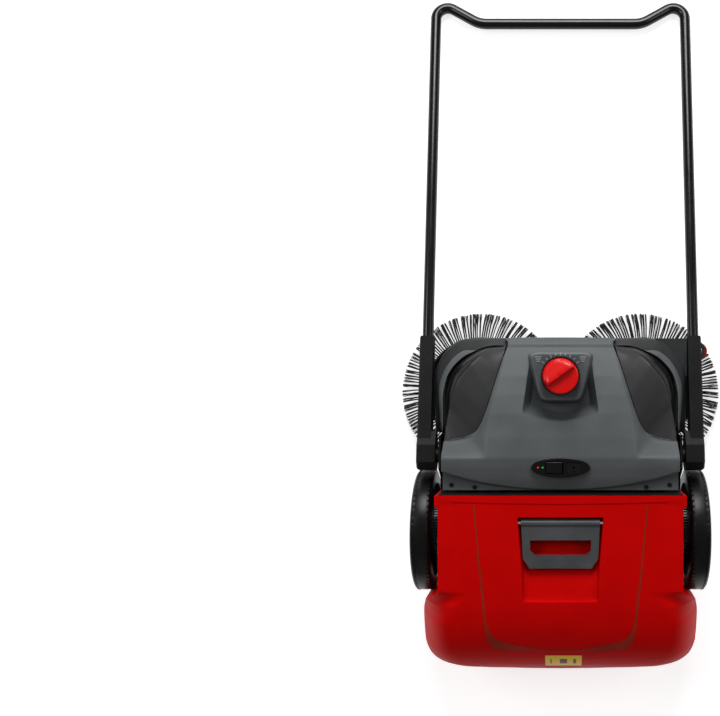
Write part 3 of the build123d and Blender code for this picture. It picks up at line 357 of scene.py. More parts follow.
# ---------------------------------------------------------------------------------------------------
# Tyres. Solid rubber with a smooth middle band and a row of small blocks near each shoulder.
WHEEL_R = 0.135
TYRE_IN_R = 0.105
TYRE_IN_X = 0.283
TYRE_OUT_X = 0.325
AXLE_Y = -0.458
BLOCKS = 66


def start_piece(name):
    """An empty mesh object at the origin, selected and active."""
    bpy.ops.object.select_all(action="DESELECT")
    piece = bpy.data.objects.new(name, bpy.data.meshes.new(name))
    bpy.context.collection.objects.link(piece)
    bpy.context.view_layer.objects.active = piece
    piece.select_set(True)
    return piece


def turn_outwards(merge=0.0):
    """Turns the active piece's faces outwards, after joining points closer than the merge distance."""
    bpy.ops.object.mode_set(mode="EDIT")
    bpy.ops.mesh.select_all(action="SELECT")
    if merge:
        bpy.ops.mesh.remove_doubles(threshold=merge)
    bpy.ops.mesh.normals_make_consistent(inside=False)
    bpy.ops.object.mode_set(mode="OBJECT")


def thicken(piece, thickness):
    """Gives the active open skin a thickness on its inner side."""
    bpy.ops.object.modifier_add(type="SOLIDIFY")
    piece.modifiers["Solidify"].thickness = thickness
    piece.modifiers["Solidify"].offset = -1
    bpy.ops.object.modifier_apply(modifier="Solidify")


def grid_faces(rows, across, closed=False):
    """Faces between rows of points; closed rows also join their last point to their first."""
    return [(row * across + n, row * across + (n + 1) % across,
             (row + 1) * across + (n + 1) % across, (row + 1) * across + n)
            for row in range(rows - 1) for n in range(across if closed else across - 1)]


def turned(name, profile, steps, centre, axis):
    """A profile of (along, radius) points spun once round an axis that runs along X through a centre."""
    piece = start_piece(name)
    points = [(along, centre[1], centre[2] + radius) for along, radius in profile]
    piece.data.from_pydata(points, [(n, (n + 1) % len(points)) for n in range(len(points))], [])
    bpy.ops.object.mode_set(mode="EDIT")
    bpy.ops.mesh.select_all(action="SELECT")
    bpy.ops.mesh.spin(steps=steps, angle=2 * pi, center=centre, axis=axis)
    bpy.ops.object.mode_set(mode="OBJECT")
    turn_outwards(merge=0.00001)
    bpy.ops.object.shade_smooth_by_angle(angle=radians(40))
    return piece


tyre_rubber = moulded("tyre_rubber", (0.003, 0.003, 0.003), 0.34, dust=0.05, shine=0.22)
dress(tyre_rubber, "support_roller", "drive_belt")
for side_name, side in (("left", -1), ("right", 1)):
    centre = (0, AXLE_Y, WHEEL_R)
    tread = [(TYRE_IN_X, TYRE_IN_R), (TYRE_IN_X, 0.126), (TYRE_IN_X + 0.0015, 0.1305),
             (TYRE_IN_X + 0.0045, 0.1335), (TYRE_IN_X + 0.009, 0.1345), (TYRE_IN_X + 0.021, WHEEL_R),
             (TYRE_OUT_X - 0.009, 0.1345), (TYRE_OUT_X - 0.0045, 0.1335), (TYRE_OUT_X - 0.0015, 0.1305),
             (TYRE_OUT_X, 0.126), (TYRE_OUT_X, TYRE_IN_R)]
    tyre = turned(f"{side_name}_rubber_tyre", [(side * x, r) for x, r in tread], 120, centre, (1, 0, 0))
    bpy.ops.object.mode_set(mode="EDIT")
    for x in (TYRE_IN_X + 0.0055, TYRE_OUT_X - 0.0075):
        bpy.ops.mesh.select_all(action="DESELECT")
        bpy.ops.mesh.primitive_cube_add(size=1, location=(side * x, AXLE_Y, 2 * WHEEL_R - 0.0008),
                                        scale=(0.0042, 0.0085, 0.0022))
        bpy.ops.mesh.spin(steps=BLOCKS, angle=2 * pi, center=centre, axis=(1, 0, 0), dupli=True)
    bpy.ops.object.mode_set(mode="OBJECT")
    tyre.data.materials.append(tyre_rubber)
    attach(tyre, f"{side_name}_wheel")
    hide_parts(f"{side_name}_tyre")

# ---------------------------------------------------------------------------------------------------
# Cover. One satin grey moulding: a crowned middle with a raised front lip and a deep recess round the
# height knob, soft valleys beside the wings, and a rear slope that carries the oval switch panel.
COVER_PROFILE = [(-0.022, 0.197), (-0.031, 0.205), (-0.039, 0.2105), (-0.044, 0.2105), (-0.060, 0.2195),
                 (-0.108, 0.246), (-0.150, 0.262), (-0.190, 0.2725), (-0.240, 0.281), (-0.283, 0.285),
                 (-0.304, 0.2805), (-0.328, 0.2725), (-0.354, 0.262)]
PANEL_EDGE = [(-0.022, 0.124), (-0.0375, 0.116), (-0.100, 0.129), (-0.1536, 0.1405), (-0.199, 0.150),
              (-0.242, 0.1565), (-0.354, 0.160)]
CROWN_DROP = 0.0065
VALLEY_DROP = 0.030
VALLEY_WIDTH = 0.036
RIDGE_Y = -0.286
COVER_FRONT = [(0, -0.0225), (0.060, -0.0228), (0.112, -0.0236), (0.123, -0.026)]
COVER_WING_SIDE = [(0.123, -0.026), (0.1165, -0.0385), (0.1286, -0.0755), (0.1555, -0.165), (0.171, -0.208)]
COVER_WING_REAR = [(0.171, -0.208), (0.187, -0.2305), (0.218, -0.244), (0.254, -0.2505)]
COVER_SIDE = [(0.254, -0.2505), (0.254, -0.282), (0.254, -0.313)]
COVER_REAR = [(0.254, -0.313), (0.190, -0.3325), (0.120, -0.3455), (0.060, -0.3515), (0, -0.3530)]
RECESS_FRONT = [(0, -0.0640), (0.030, -0.0641), (0.058, -0.0645), (0.067, -0.0690)]
RECESS_SIDE = [(0.067, -0.0690), (0.0710, -0.108), (0.0755, -0.142), (0.0800, -0.176)]
RECESS_CORNER = [(0.0800, -0.176), (0.0795, -0.184), (0.0745, -0.1900), (0.050, -0.1975), (0.035, -0.2007)]
RECESS_REAR = [(0.035, -0.2007), (0.030, -0.2016), (0.025, -0.2023)]
RECESS_MIDDLE_REAR = [(0.025, -0.2023), (0.012, -0.2037), (0, -0.2040)]
RECESS_FLOOR = 0.229
RECESS_MIDDLE = -0.112
SEGMENTS = (34, 64, 40, 20, 64)
SURFACE_ROWS = 60
PANEL_HOLE_Y = -0.3035
PANEL_HOLE_HALF_WIDTH = 0.060
PANEL_HOLE_HALF_DEPTH = 0.0185


def smooth_path(corners, count):
    """Points along a smooth curve through the corners, without the last one."""
    path = []
    for step in range(count):
        spot = step * (len(corners) - 1) / count
        span = int(spot)
        part = spot - span
        before = corners[max(span - 1, 0)]
        start = corners[span]
        end = corners[span + 1]
        after = corners[min(span + 2, len(corners) - 1)]
        path.append(tuple(
            0.5 * (2 * b + (c - a) * part + (2 * a - 5 * b + 4 * c - d) * part**2
                   + (3 * b - a - 3 * c + d) * part**3)
            for a, b, c, d in zip(before, start, end, after)))
    return path


def look_up(table, value):
    """Straight-line value between the entries of a table whose first column falls."""
    for (high, first), (low, second) in zip(table, table[1:]):
        if value >= low:
            return first + (second - first) * min(1.0, max(0.0, (high - value) / (high - low)))
    return table[-1][1]


def ease(value):
    """0 below 0, 1 above 1 and smooth between."""
    value = min(1.0, max(0.0, value))
    return value * value * (3 - 2 * value)


def cover_height(x, y):
    """Height of the cover's surface: its side profile, crowned, less the valleys beside the wings."""
    profile = sum(look_up(COVER_PROFILE, y + shift) for shift in (-0.003, -0.001, 0.001, 0.003)) / 4
    edge = look_up(PANEL_EDGE, y)
    beside = max(abs(x) - edge, 0.0)
    ahead = max(y - RIDGE_Y, 0.0)
    outside = 0.0
    if beside > 0 and ahead > 0:
        outside = (beside**-3 + ahead**-3) ** (-1 / 3)
    crown = CROWN_DROP * (x / 0.15) ** 2 * ease((0.30 + y) / 0.1)
    return profile - crown - VALLEY_DROP * ease(outside / VALLEY_WIDTH)


def whole_loop(right_half, last):
    """A closed loop: the right half from front to rear, the last point, and the left half back again."""
    return right_half + [last] + [(-x, y) for x, y in reversed(right_half[1:])]


def skin(name, rows, thickness, crease=35):
    """A moulded skin with a closed loop of points in each row, thickened inwards unless thickness is 0."""
    piece = start_piece(name)
    faces = grid_faces(len(rows), len(rows[0]), closed=True)
    piece.data.from_pydata([point for row in rows for point in row], [], faces)
    turn_outwards()
    if thickness:
        thicken(piece, thickness)
    bpy.ops.object.shade_smooth_by_angle(angle=radians(crease))
    return piece


cover_grey = moulded("cover_grey", (0.084, 0.092, 0.095), 0.46, spread=0.07, dust=0.06, shine=0.18)
dress(cover_grey, "rear_deck")
outer_half = []
for corners, count in zip((COVER_FRONT, COVER_WING_SIDE, COVER_WING_REAR, COVER_SIDE, COVER_REAR),
                          SEGMENTS):
    outer_half += smooth_path(corners, count)
recess_half = []
for corners, count in zip((RECESS_FRONT, RECESS_SIDE, RECESS_CORNER, RECESS_REAR, RECESS_MIDDLE_REAR),
                          SEGMENTS):
    recess_half += smooth_path(corners, count)
outer = whole_loop(outer_half, COVER_REAR[-1])
recess = whole_loop(recess_half, RECESS_MIDDLE_REAR[-1])

rows = []
for depth in (1.0, 0.96, 0.86, 0.66, 0.40, 0.18, 0.05):
    shrink = 1 - 0.20 * depth**1.5
    row = []
    for x, y in recess:
        rim = cover_height(x, y)
        row.append((x * shrink, RECESS_MIDDLE + (y - RECESS_MIDDLE) * shrink,
                    rim + (RECESS_FLOOR - rim) * depth - 0.001))
    rows.append(row)
rows.insert(0, [(x * 0.4, RECESS_MIDDLE + (y - RECESS_MIDDLE) * 0.4, RECESS_FLOOR - 0.001)
                for x, y in recess])
for step in range(SURFACE_ROWS + 1):
    part = 0.012 + 0.988 * step / SURFACE_ROWS
    row = []
    for (x_in, y_in), (x_out, y_out) in zip(recess, outer):
        x = x_in + (x_out - x_in) * part
        y = y_in + (y_out - y_in) * (1 - (1 - part) ** 1.15)
        row.append((x, y, cover_height(x, y) - 0.0012 * ease((part - 0.985) / 0.015)))
    rows.append(row)
rows.append([(x * 1.003, y, cover_height(x, y) - 0.004) for x, y in outer])
rows.append([(x * 1.003, y, max(0.170, cover_height(x, y) - (0.008 if y < -0.320 else 0.060)))
             for x, y in outer])
cover_shell = skin("cover_shell", rows, 0.0015)
bpy.ops.object.mode_set(mode="EDIT")
bpy.ops.mesh.select_all(action="DESELECT")
bpy.ops.object.mode_set(mode="OBJECT")
for face in cover_shell.data.polygons:
    x, y, z = face.center
    across = x / PANEL_HOLE_HALF_WIDTH
    ahead = (y - PANEL_HOLE_Y) / PANEL_HOLE_HALF_DEPTH
    face.select = z > 0.26 and across**2 + ahead**2 < 1
bpy.ops.object.mode_set(mode="EDIT")
bpy.ops.mesh.delete(type="FACE")
bpy.ops.object.mode_set(mode="OBJECT")
cover_shell.data.materials.append(cover_grey)
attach(cover_shell, "chassis")
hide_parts("centre_panel")

# ---------------------------------------------------------------------------------------------------
# Cover rim. The same cover's low outer rim in a darker grey: it climbs from the seam with the housing
# to the foot of the wings.
RIM_LOW = 0.150
RIM_OUTER = [(0, -0.0228), (0.060, -0.0228), (0.123, -0.0230), (0.168, -0.0228), (0.219, -0.0260),
             (0.246, -0.0405), (0.268, -0.066), (0.281, -0.098), (0.2815, -0.150), (0.2815, -0.234)]
RIM_INNER = [(0, -0.046), (0.060, -0.045), (0.118, -0.0410), (0.160, -0.0425), (0.205, -0.0605),
             (0.241, -0.094), (0.2545, -0.134), (0.256, -0.165), (0.256, -0.205), (0.255, -0.234)]
RIM_STEP = [(0.2815, -0.234), (0.2635, -0.2365), (0.263, -0.245)]
RIM_STEP_IN = [(0.255, -0.234), (0.250, -0.238), (0.245, -0.245)]
RIM_BACK = [(0.263, -0.245), (0.263, -0.300), (0.263, -0.353)]
RIM_BACK_IN = [(0.245, -0.245), (0.245, -0.300), (0.245, -0.340)]
RIM_END = [(0.263, -0.353), (0.130, -0.3535), (0, -0.3535)]
RIM_END_IN = [(0.245, -0.340), (0.130, -0.340), (0, -0.340)]
RIM_SEGMENTS = (120, 6, 20, 30)

rim_outer = []
rim_inner = []
for outside, inside, count in zip((RIM_OUTER, RIM_STEP, RIM_BACK, RIM_END),
                                  (RIM_INNER, RIM_STEP_IN, RIM_BACK_IN, RIM_END_IN), RIM_SEGMENTS):
    rim_outer += smooth_path(outside, count)
    rim_inner += smooth_path(inside, count)
rim_outer = whole_loop(rim_outer, RIM_END[-1])
rim_inner = whole_loop(rim_inner, RIM_END_IN[-1])
rows = [[(x, y, RIM_LOW) for x, y in rim_outer], [(x, y, 0.1675) for x, y in rim_outer]]
for part in (0.06, 0.16, 0.35, 0.6, 0.85, 1.0):
    row = []
    for (x_out, y_out), (x_in, y_in) in zip(rim_outer, rim_inner):
        climb = 0.024 * ease((y_out + 0.236) / 0.03)
        row.append((x_out + (x_in - x_out) * part, y_out + (y_in - y_out) * part,
                    0.1695 + 0.0025 * min(1.0, part / 0.16) + climb * part))
    rows.append(row)
rows.append([(x, y, RIM_LOW + 0.012) for x, y in rim_inner])
cover_rim = skin("cover_rim", rows, 0.0015)
rim_grey = moulded("rim_grey", (0.026, 0.027, 0.028), 0.48, spread=0.10, dust=0.08, shine=0.16)
cover_rim.data.materials.append(rim_grey)
dress(rim_grey, "roller_bracket")
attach(cover_rim, "chassis")
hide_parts("top_cover")

# ---------------------------------------------------------------------------------------------------
# Wings. Black covers over the disc brushes: a satin inner face beside the cover, and a polished
# shoulder that rolls down to the rim in front and outside. The inner face's lighter black is painted light
# and the shoulder's near-black is painted shade, laid over their real satin and polished textures.
WING_INNER = [(0.1200, -0.0400), (0.1302, -0.0755), (0.1572, -0.165), (0.1727, -0.2085), (0.1884, -0.2318),
              (0.2187, -0.2458), (0.2535, -0.2520)]
WING_OUTER = [(0.1200, -0.0400), (0.1600, -0.0425), (0.2050, -0.0600), (0.2410, -0.0935), (0.2555, -0.134),
              (0.2570, -0.165), (0.2570, -0.210), (0.2535, -0.2520)]
WING_STEPS = 90
WING_CREASE = 0.76
WING_FOOT = 0.182
SATIN_ROWS = 14
GLOSS_ROWS = 12

# painted shade: the steep shoulder's base colour is nearly black to stand for the dark surroundings it
# reflects
wing_gloss_painted_shade = moulded("wing_gloss_painted_shade", (0.003, 0.003, 0.0032), 0.26, grain=0.004, depth=0.02, spread=0.05,
                     shine=0.14)
# painted light: the flat inner face is a lighter black to stand for the light it catches; its dust is real
wing_satin_painted_light = moulded("wing_satin_painted_light", (0.030, 0.030, 0.031), 0.42, spread=0.10, dust=0.06, shine=0.16)
inner_edge = smooth_path(WING_INNER, WING_STEPS) + [WING_INNER[-1]]
outer_edge = smooth_path(WING_OUTER, WING_STEPS) + [WING_OUTER[-1]]
for side_name, side in (("left", -1), ("right", 1)):
    rows = []
    satin_parts = [n / SATIN_ROWS * WING_CREASE for n in range(SATIN_ROWS + 1)]
    gloss_parts = [WING_CREASE + (1 - WING_CREASE) * n / GLOSS_ROWS for n in range(1, GLOSS_ROWS + 1)]
    for part in satin_parts + gloss_parts:
        row = []
        for (x_in, y_in), (x_out, y_out) in zip(inner_edge, outer_edge):
            edge_z = cover_height(x_in - 0.0015, y_in - 0.0015) - 0.0015
            crease_z = edge_z - 0.007 - 0.010 * ease((y_in + 0.10) / 0.06)
            if part <= WING_CREASE:
                z = edge_z + (crease_z - edge_z) * (part / WING_CREASE) ** 1.5
            else:
                fall = (part - WING_CREASE) / (1 - WING_CREASE)
                z = crease_z + (WING_FOOT + 0.006 - crease_z) * (0.55 * fall + 0.45 * fall**2.5)
            row.append((side * (x_in + (x_out - x_in) * part), y_in + (y_out - y_in) * part, z))
        rows.append(row)
    wing = start_piece(f"{side_name}_wing_cover")
    count = len(rows[0])
    rows.append([(x, y, WING_FOOT - 0.012) for x, y, z in rows[-1]])
    rows.insert(0, [(x, y, z - 0.03) for x, y, z in rows[0]])
    wing.data.from_pydata([point for row in rows for point in row], [], grid_faces(len(rows), count))
    wing.data.materials.append(wing_satin_painted_light)
    wing.data.materials.append(wing_gloss_painted_shade)
    for number, face in enumerate(wing.data.polygons):
        face.material_index = 1 if number // (count - 1) > SATIN_ROWS else 0
    turn_outwards(merge=0.00005)
    thicken(wing, 0.0018)
    bpy.ops.object.shade_smooth_by_angle(angle=radians(50))
    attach(wing, "chassis")
    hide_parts(f"{side_name}_wing")

# ---------------------------------------------------------------------------------------------------
# Crescents. Light grey sickle-shaped trims that lie on the rim outside the wings.
CRESCENT_INNER = [(0.186, -0.0512), (0.2195, -0.0700), (0.2480, -0.1040), (0.2595, -0.150),
                  (0.2600, -0.205), (0.262, -0.238)]
CRESCENT_OUTER = [(0.186, -0.0508), (0.2200, -0.0540), (0.2520, -0.0840), (0.2700, -0.130),
                  (0.2690, -0.190), (0.262, -0.238)]
crescent_in = smooth_path(CRESCENT_INNER, 60) + [CRESCENT_INNER[-1]]
crescent_out = smooth_path(CRESCENT_OUTER, 60) + [CRESCENT_OUTER[-1]]
crescent_grey = moulded("crescent_grey", (0.085, 0.092, 0.095), 0.44, spread=0.08, dust=0.06, shine=0.18)
for side_name, side in (("left", -1), ("right", 1)):
    rows = []
    for part, z in ((0.0, 0.186), (0.0, 0.1985), (0.06, 0.2005), (0.3, 0.2000), (0.7, 0.1955), (0.93, 0.1915),
                    (1.0, 0.1895), (1.0, 0.175)):
        rows.append([(side * (x_in + (x_out - x_in) * part), y_in + (y_out - y_in) * part, z)
                     for (x_in, y_in), (x_out, y_out) in zip(crescent_in, crescent_out)])
    crescent = start_piece(f"{side_name}_crescent_trim")
    faces = grid_faces(len(rows), len(rows[0]))
    crescent.data.from_pydata([point for row in rows for point in row], [], faces)
    turn_outwards()
    bpy.ops.object.shade_smooth_by_angle(angle=radians(35))
    crescent.data.materials.append(crescent_grey)
    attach(crescent, "chassis")
    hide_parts(f"{side_name}_crescent")

# ---------------------------------------------------------------------------------------------------
# Dirt container. A red moulded bin: straight between the wheels, flared behind them and rolled down at
# the rear, with a raised lip along its front edge and a pocket whose floor ramps up behind the grip.
# Only its outside is shaped here: the underside is closed, so its hollow inside isn't shown.
BIN_PROFILE = [(-0.362, 0.2895), (-0.480, 0.2885), (-0.560, 0.2865), (-0.610, 0.2825), (-0.650, 0.2745),
               (-0.688, 0.2600), (-0.715, 0.2420), (-0.738, 0.2180), (-0.756, 0.1880), (-0.769, 0.1550),
               (-0.778, 0.1200)]
BIN_SIDE = [(-0.362, 0.2612), (-0.470, 0.2612), (-0.566, 0.2612), (-0.576, 0.2640), (-0.5876, 0.2810),
            (-0.6016, 0.2985), (-0.620, 0.3080), (-0.639, 0.3135), (-0.680, 0.3125), (-0.714, 0.3095),
            (-0.733, 0.3025), (-0.7495, 0.2905), (-0.762, 0.2680), (-0.769, 0.2280), (-0.7745, 0.1390),
            (-0.778, 0.0)]
BIN_EDGE = 0.122
BIN_LOW = 0.038
BIN_ROLL = 0.085
INTAKE_REAR = -0.445
INTAKE_TOP = 0.106
POCKET_RIM = [[(0, -0.4085), (0.050, -0.4085), (0.088, -0.4085), (0.0918, -0.4110)],
              [(0.0918, -0.4110), (0.0870, -0.470), (0.0825, -0.530), (0.0800, -0.5850)],
              [(0.0800, -0.5850), (0.0770, -0.5895)],
              [(0.0770, -0.5895), (0.040, -0.5900), (0, -0.5900)]]
BIN_OUTLINE = [[(0, -0.3625), (0.130, -0.3625), (0.2575, -0.3625), (0.2612, -0.3665)],
               [(x, y) for y, x in BIN_SIDE[1:7]],
               [(x, y) for y, x in BIN_SIDE[6:10]],
               [(x, y) for y, x in BIN_SIDE[9:]]]
BIN_OUTLINE[1].insert(0, (0.2612, -0.3665))
BIN_SEGMENTS = (40, 70, 30, 90)
BIN_ROWS = 56


def bin_height(x, y):
    """Height of the container's surface: its side profile, rolled off towards the flared sides."""
    profile = sum(look_up(BIN_PROFILE, y + shift) for shift in (-0.012, -0.006, 0, 0.006, 0.012)) / 5
    width = look_up(BIN_SIDE, y)
    inside = min(1.0, max(0.0, (width - abs(x)) / BIN_ROLL))
    flare = ease((-0.566 - y) / 0.070)
    lip_y = -0.3735 - 0.006 * (1 - (x / 0.27) ** 2)
    lip = 0.0016 * (1 - ease((lip_y - y) / 0.0022))
    return BIN_EDGE + (profile - BIN_EDGE) * (1 - flare * (1 - inside) ** 2.4) + lip


red_plastic = moulded("red_plastic", (0.52, 0.0011, 0.0010), 0.50, spread=0.04, depth=0.05, shine=0.03)
dress(red_plastic, "guide_roller")
edge_half = []
pocket_half = []
for outside, inside, count in zip(BIN_OUTLINE, POCKET_RIM, BIN_SEGMENTS):
    edge_half += smooth_path(outside, count)
    pocket_half += smooth_path(inside, count)
bin_edge = whole_loop(edge_half, (0, -0.778))
pocket = whole_loop(pocket_half, (0, -0.590))

rows = []
for inset, depth in ((0.97, 1.0), (0.60, 1.0), (0.25, 1.0), (0.06, 0.98), (0.035, 0.80), (0.022, 0.45),
                     (0.008, 0.10)):
    row = []
    for x, y in pocket:
        low_y = y + (-0.495 - y) * inset
        floor_z = 0.2515 + 0.026 * ease((-0.450 - low_y) / 0.125)
        rim = bin_height(x, y) - 0.0005
        row.append((x * (1 - inset), low_y, rim + (min(floor_z, rim) - rim) * depth))
    rows.append(row)
for step in range(BIN_ROWS + 1):
    part = step / BIN_ROWS
    spread = 1 - (1 - part) ** 1.5
    row = []
    for (x_in, y_in), (x_out, y_out) in zip(pocket, bin_edge):
        x = x_in + (x_out - x_in) * spread
        y = y_in + (y_out - y_in) * spread
        row.append((x, y, bin_height(x, y) - 0.0012 * ease((part - 0.96) / 0.04)))
    rows.append(row)
for level, shrink in ((0.012, 1.001), (0.60, 1.001), (1.0, 0.985)):
    row = []
    for x, y in bin_edge:
        low = BIN_LOW + (INTAKE_TOP - BIN_LOW) * ease((y - INTAKE_REAR) / 0.002)
        top = bin_height(x, y) - 0.002
        row.append((x * shrink, -0.57 + (y + 0.57) * shrink if y < -0.57 else y, top + (low - top) * level))
    rows.append(row)
rows.append([(x * 0.02, -0.60 + (y + 0.60) * 0.02, BIN_LOW) for x, y in bin_edge])
bin_shell = skin("bin_shell", rows, 0, crease=32)
bin_shell.data.materials.append(red_plastic)
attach(bin_shell, "container")
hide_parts("dirt_container")


# ---------------------------------------------------------------------------------------------------
# Lip ends and shade sheets. Two red blocks end the container's front lip. A thin black panel over
# the container's front face above its intake, and two black plates between the housing and the arms,
# are guesses that keep those gaps dark: painted shade, black sheets standing in for the gaps' shadow.
def block(name, low, high, material, body):
    """A box between two corners with softened edges, riding a body."""
    bpy.ops.object.select_all(action="DESELECT")
    bpy.ops.mesh.primitive_cube_add(size=1, location=(0, 0, 0))
    piece = bpy.context.object
    piece.name = name
    for point in piece.data.vertices:
        point.co = [a + (b - a) * (0.5 + c) for a, b, c in zip(low, high, point.co)]
    bpy.ops.object.modifier_add(type="BEVEL")
    piece.modifiers["Bevel"].width = 0.0006
    piece.modifiers["Bevel"].segments = 2
    bpy.ops.object.modifier_apply(modifier="Bevel")
    piece.data.materials.append(material)
    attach(piece, body)


block("bin_lip_left", (-0.2680, -0.3865, 0.2760), (-0.2585, -0.3628, 0.2908), red_plastic,
      "container")
block("bin_lip_right", (0.2585, -0.3865, 0.2760), (0.2680, -0.3628, 0.2908), red_plastic,
      "container")
# painted shade: a thin black sheet on the container's front face keeps the gap above the intake dark
block("bin_front_shade_sheet", (-0.2610, -0.3620, 0.1120), (0.2610, -0.3602, 0.2870), black_plastic,
      "container")
# painted shade: two black plates keep the gaps between the housing and the arms dark
block("gap_shade_left", (-0.2730, -0.3120, 0.1180), (-0.2640, -0.2370, 0.1210), black_plastic,
      "chassis")
block("gap_shade_right", (0.2640, -0.3120, 0.1180), (0.2730, -0.2370, 0.1210), black_plastic,
      "chassis")

# ---------------------------------------------------------------------------------------------------
# Groove of the container. A shallow U-shaped channel in its top, narrow in front and wide round the
# rear corners. It is drawn as a flat strip on the surface, in a darker, browner red that is painted shade for
# the channel's depth.
GROOVE_OUTER = [(0.186, -0.382), (0.1800, -0.450), (0.1745, -0.517), (0.1680, -0.585), (0.1620, -0.650),
                (0.1570, -0.678), (0.1480, -0.694), (0.1300, -0.7015), (0.080, -0.7035), (0.040, -0.704),
                (0, -0.704)]
GROOVE_INNER = [(0.1825, -0.382), (0.1765, -0.450), (0.1700, -0.517), (0.1625, -0.585), (0.1580, -0.632),
                (0.1510, -0.656), (0.1400, -0.6710), (0.1180, -0.6820), (0.075, -0.6935), (0.040, -0.7000),
                (0, -0.7022)]
# painted shade: the strip's red is darker than the container's to stand for the shadow in the channel
groove_painted_shade = moulded("groove_painted_shade", (0.27, 0.016, 0.006), 0.50, spread=0.15, shine=0.08)
for side_name, side in (("left", -1), ("right", 1)):
    outer_line = smooth_path(GROOVE_OUTER, 90) + [GROOVE_OUTER[-1]]
    inner_line = smooth_path(GROOVE_INNER, 90) + [GROOVE_INNER[-1]]
    groove = start_piece(f"{side_name}_bin_groove")
    points = []
    for (x_out, y_out), (x_in, y_in) in zip(outer_line, inner_line):
        for part in (0, 0.5, 1):
            x = x_in + (x_out - x_in) * part
            y = y_in + (y_out - y_in) * part
            points.append((side * x, y, bin_height(x, y) + 0.0004))
    groove.data.from_pydata(points, [], grid_faces(len(points) // 3, 3))
    turn_outwards()
    bpy.ops.object.shade_smooth_by_angle(angle=radians(40))
    groove.data.materials.append(groove_painted_shade)
    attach(groove, "container")

# ---------------------------------------------------------------------------------------------------
# Sticker. A plain yellow vinyl sticker on the rear slope with a thin border and three neutral marks.
STICKER_X = (-0.034, 0.047)
STICKER_Y = (-0.7150, -0.7525)
sticker_yellow = moulded("sticker_yellow", (0.78, 0.46, 0.006), 0.40, spread=0.04, shine=0.15)
sticker_dark = moulded("sticker_dark", (0.10, 0.06, 0.01), 0.45, shine=0.15)


def film(name, x_span, y_span, lift, material):
    """A thin patch of film that follows the container's surface."""
    bpy.ops.object.select_all(action="DESELECT")
    bpy.ops.mesh.primitive_grid_add(x_subdivisions=16, y_subdivisions=8, size=1, location=(0, 0, 0))
    patch = bpy.context.object
    patch.name = name
    for point in patch.data.vertices:
        x = x_span[0] + (x_span[1] - x_span[0]) * (point.co.x + 0.5)
        y = y_span[1] + (y_span[0] - y_span[1]) * (point.co.y + 0.5)
        point.co = (x, y, bin_height(x, y) + lift)
    patch.data.materials.append(material)
    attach(patch, "container")
    return patch


film("sticker_border", STICKER_X, STICKER_Y, 0.0006, sticker_dark)
sticker = film("sticker_film", (STICKER_X[0] + 0.0007, STICKER_X[1] - 0.0007),
               (STICKER_Y[0] - 0.0007, STICKER_Y[1] + 0.0007), 0.0009, sticker_yellow)
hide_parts("container_sticker")
for number, (middle, half) in enumerate(((-0.021, 0.0014), (0.0065, 0.0080), (0.031, 0.0032))):
    film(f"sticker_mark_{number}", (middle - half, middle + half), (-0.7260, -0.7420), 0.0012, sticker_dark)

# ---------------------------------------------------------------------------------------------------
# Height knob and pedestal. The black knob ring has a red cap: one half is a ramp that climbs to a
# ridge across the middle, where a finger pushes. It turns on a grey pedestal with plain scale marks.
CAP_R = 0.0385
CAP_LOW = 0.2955
RIDGE_TURN = radians(36)
RIDGE_HEIGHT = 0.0125
cap = start_piece("knob_cap")
rings = [(0.0, 0.0190), (0.12, 0.0190), (0.25, 0.0190), (0.38, 0.0190), (0.5, 0.0190), (0.62, 0.0190),
         (0.74, 0.0190), (0.84, 0.0190), (0.92, 0.0188), (0.97, 0.0180), (1.0, 0.0160), (1.0, 0.0)]
AROUND = 96
points = []
for part, top in rings:
    for n in range(AROUND):
        turn = 2 * pi * n / AROUND
        along = CAP_R * part * cos(turn)
        over = CAP_R * part * sin(turn)
        rise = 0.0
        if top > 0.01 and part < 0.95:
            front = ease((over + 0.0040) / 0.0050)
            rise = RIDGE_HEIGHT * front * (1 - 0.78 * ease((over - 0.001) / 0.034))
            rise *= 1 - ease((part - 0.80) / 0.15)
        points.append((along * cos(RIDGE_TURN) - over * sin(RIDGE_TURN),
                       knob_centre.y + along * sin(RIDGE_TURN) + over * cos(RIDGE_TURN),
                       CAP_LOW + top + rise))
cap.data.from_pydata(points, [], grid_faces(len(rings), AROUND, closed=True))
turn_outwards(merge=0.00001)
bpy.ops.object.shade_smooth_by_angle(angle=radians(38))
knob_red = moulded("knob_red", (0.62, 0.0025, 0.0020), 0.26, spread=0.04, depth=0.04, shine=0.35)
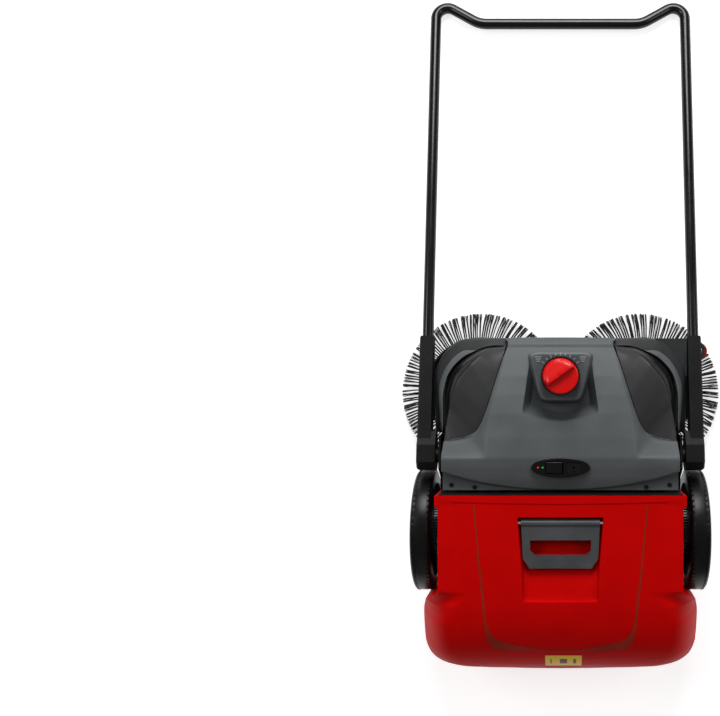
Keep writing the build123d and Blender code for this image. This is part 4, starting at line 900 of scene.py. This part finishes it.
cap.data.materials.append(knob_red)
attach(cap, "knob")
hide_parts("height_knob")

PEDESTAL_TOP = 0.2915
PEDESTAL_OUTLINE = [(0, -0.0608), (0.030, -0.0608), (0.050, -0.0612), (0.0600, -0.0650),
                    (0.0625, -0.0740), (0.0570, -0.100), (0.0500, -0.130), (0.0440, -0.1480),
                    (0.0390, -0.1560), (0.0300, -0.1598), (0.015, -0.1602), (0, -0.1602)]
pedestal_loop = whole_loop(smooth_path(PEDESTAL_OUTLINE, 80), PEDESTAL_OUTLINE[-1])
rows = []
for shrink, z in ((0.02, PEDESTAL_TOP - 0.001), (0.86, PEDESTAL_TOP - 0.001), (0.91, PEDESTAL_TOP),
                  (0.955, PEDESTAL_TOP), (0.985, PEDESTAL_TOP - 0.0008), (1.0, PEDESTAL_TOP - 0.0030),
                  (1.01, PEDESTAL_TOP - 0.010), (1.07, 0.255), (1.13, RECESS_FLOOR - 0.001)):
    rows.append([(x * shrink, -0.110 + (y + 0.110) * shrink, z) for x, y in pedestal_loop])
pedestal = skin("pedestal", rows, 0, crease=40)
pedestal.data.materials.append(cover_grey)
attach(pedestal, "chassis")
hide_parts("knob_pedestal")

mark_grey = moulded("mark_grey", (0.36, 0.37, 0.375), 0.5)
SCALE_R = 0.0465
scale = start_piece("knob_scale")
bpy.ops.object.mode_set(mode="EDIT")
for n in range(-4, 5):
    turn = radians(90 + 13 * n)
    place = (SCALE_R * cos(turn), knob_centre.y + SCALE_R * sin(turn), PEDESTAL_TOP)
    bpy.ops.mesh.primitive_cube_add(size=1, location=place, rotation=(0, 0, turn),
                                    scale=(0.0050 if n % 2 else 0.0070, 0.0015, 0.0012))
for side in (-1, 1):
    for n in range(3):
        bpy.ops.mesh.primitive_cube_add(size=1, location=(side * 0.047, -0.0680 - 0.0045 * n, PEDESTAL_TOP),
                                        scale=(0.014 - 0.003 * n, 0.0014, 0.0012))
bpy.ops.object.mode_set(mode="OBJECT")
scale.data.materials.append(mark_grey)
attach(scale, "chassis")
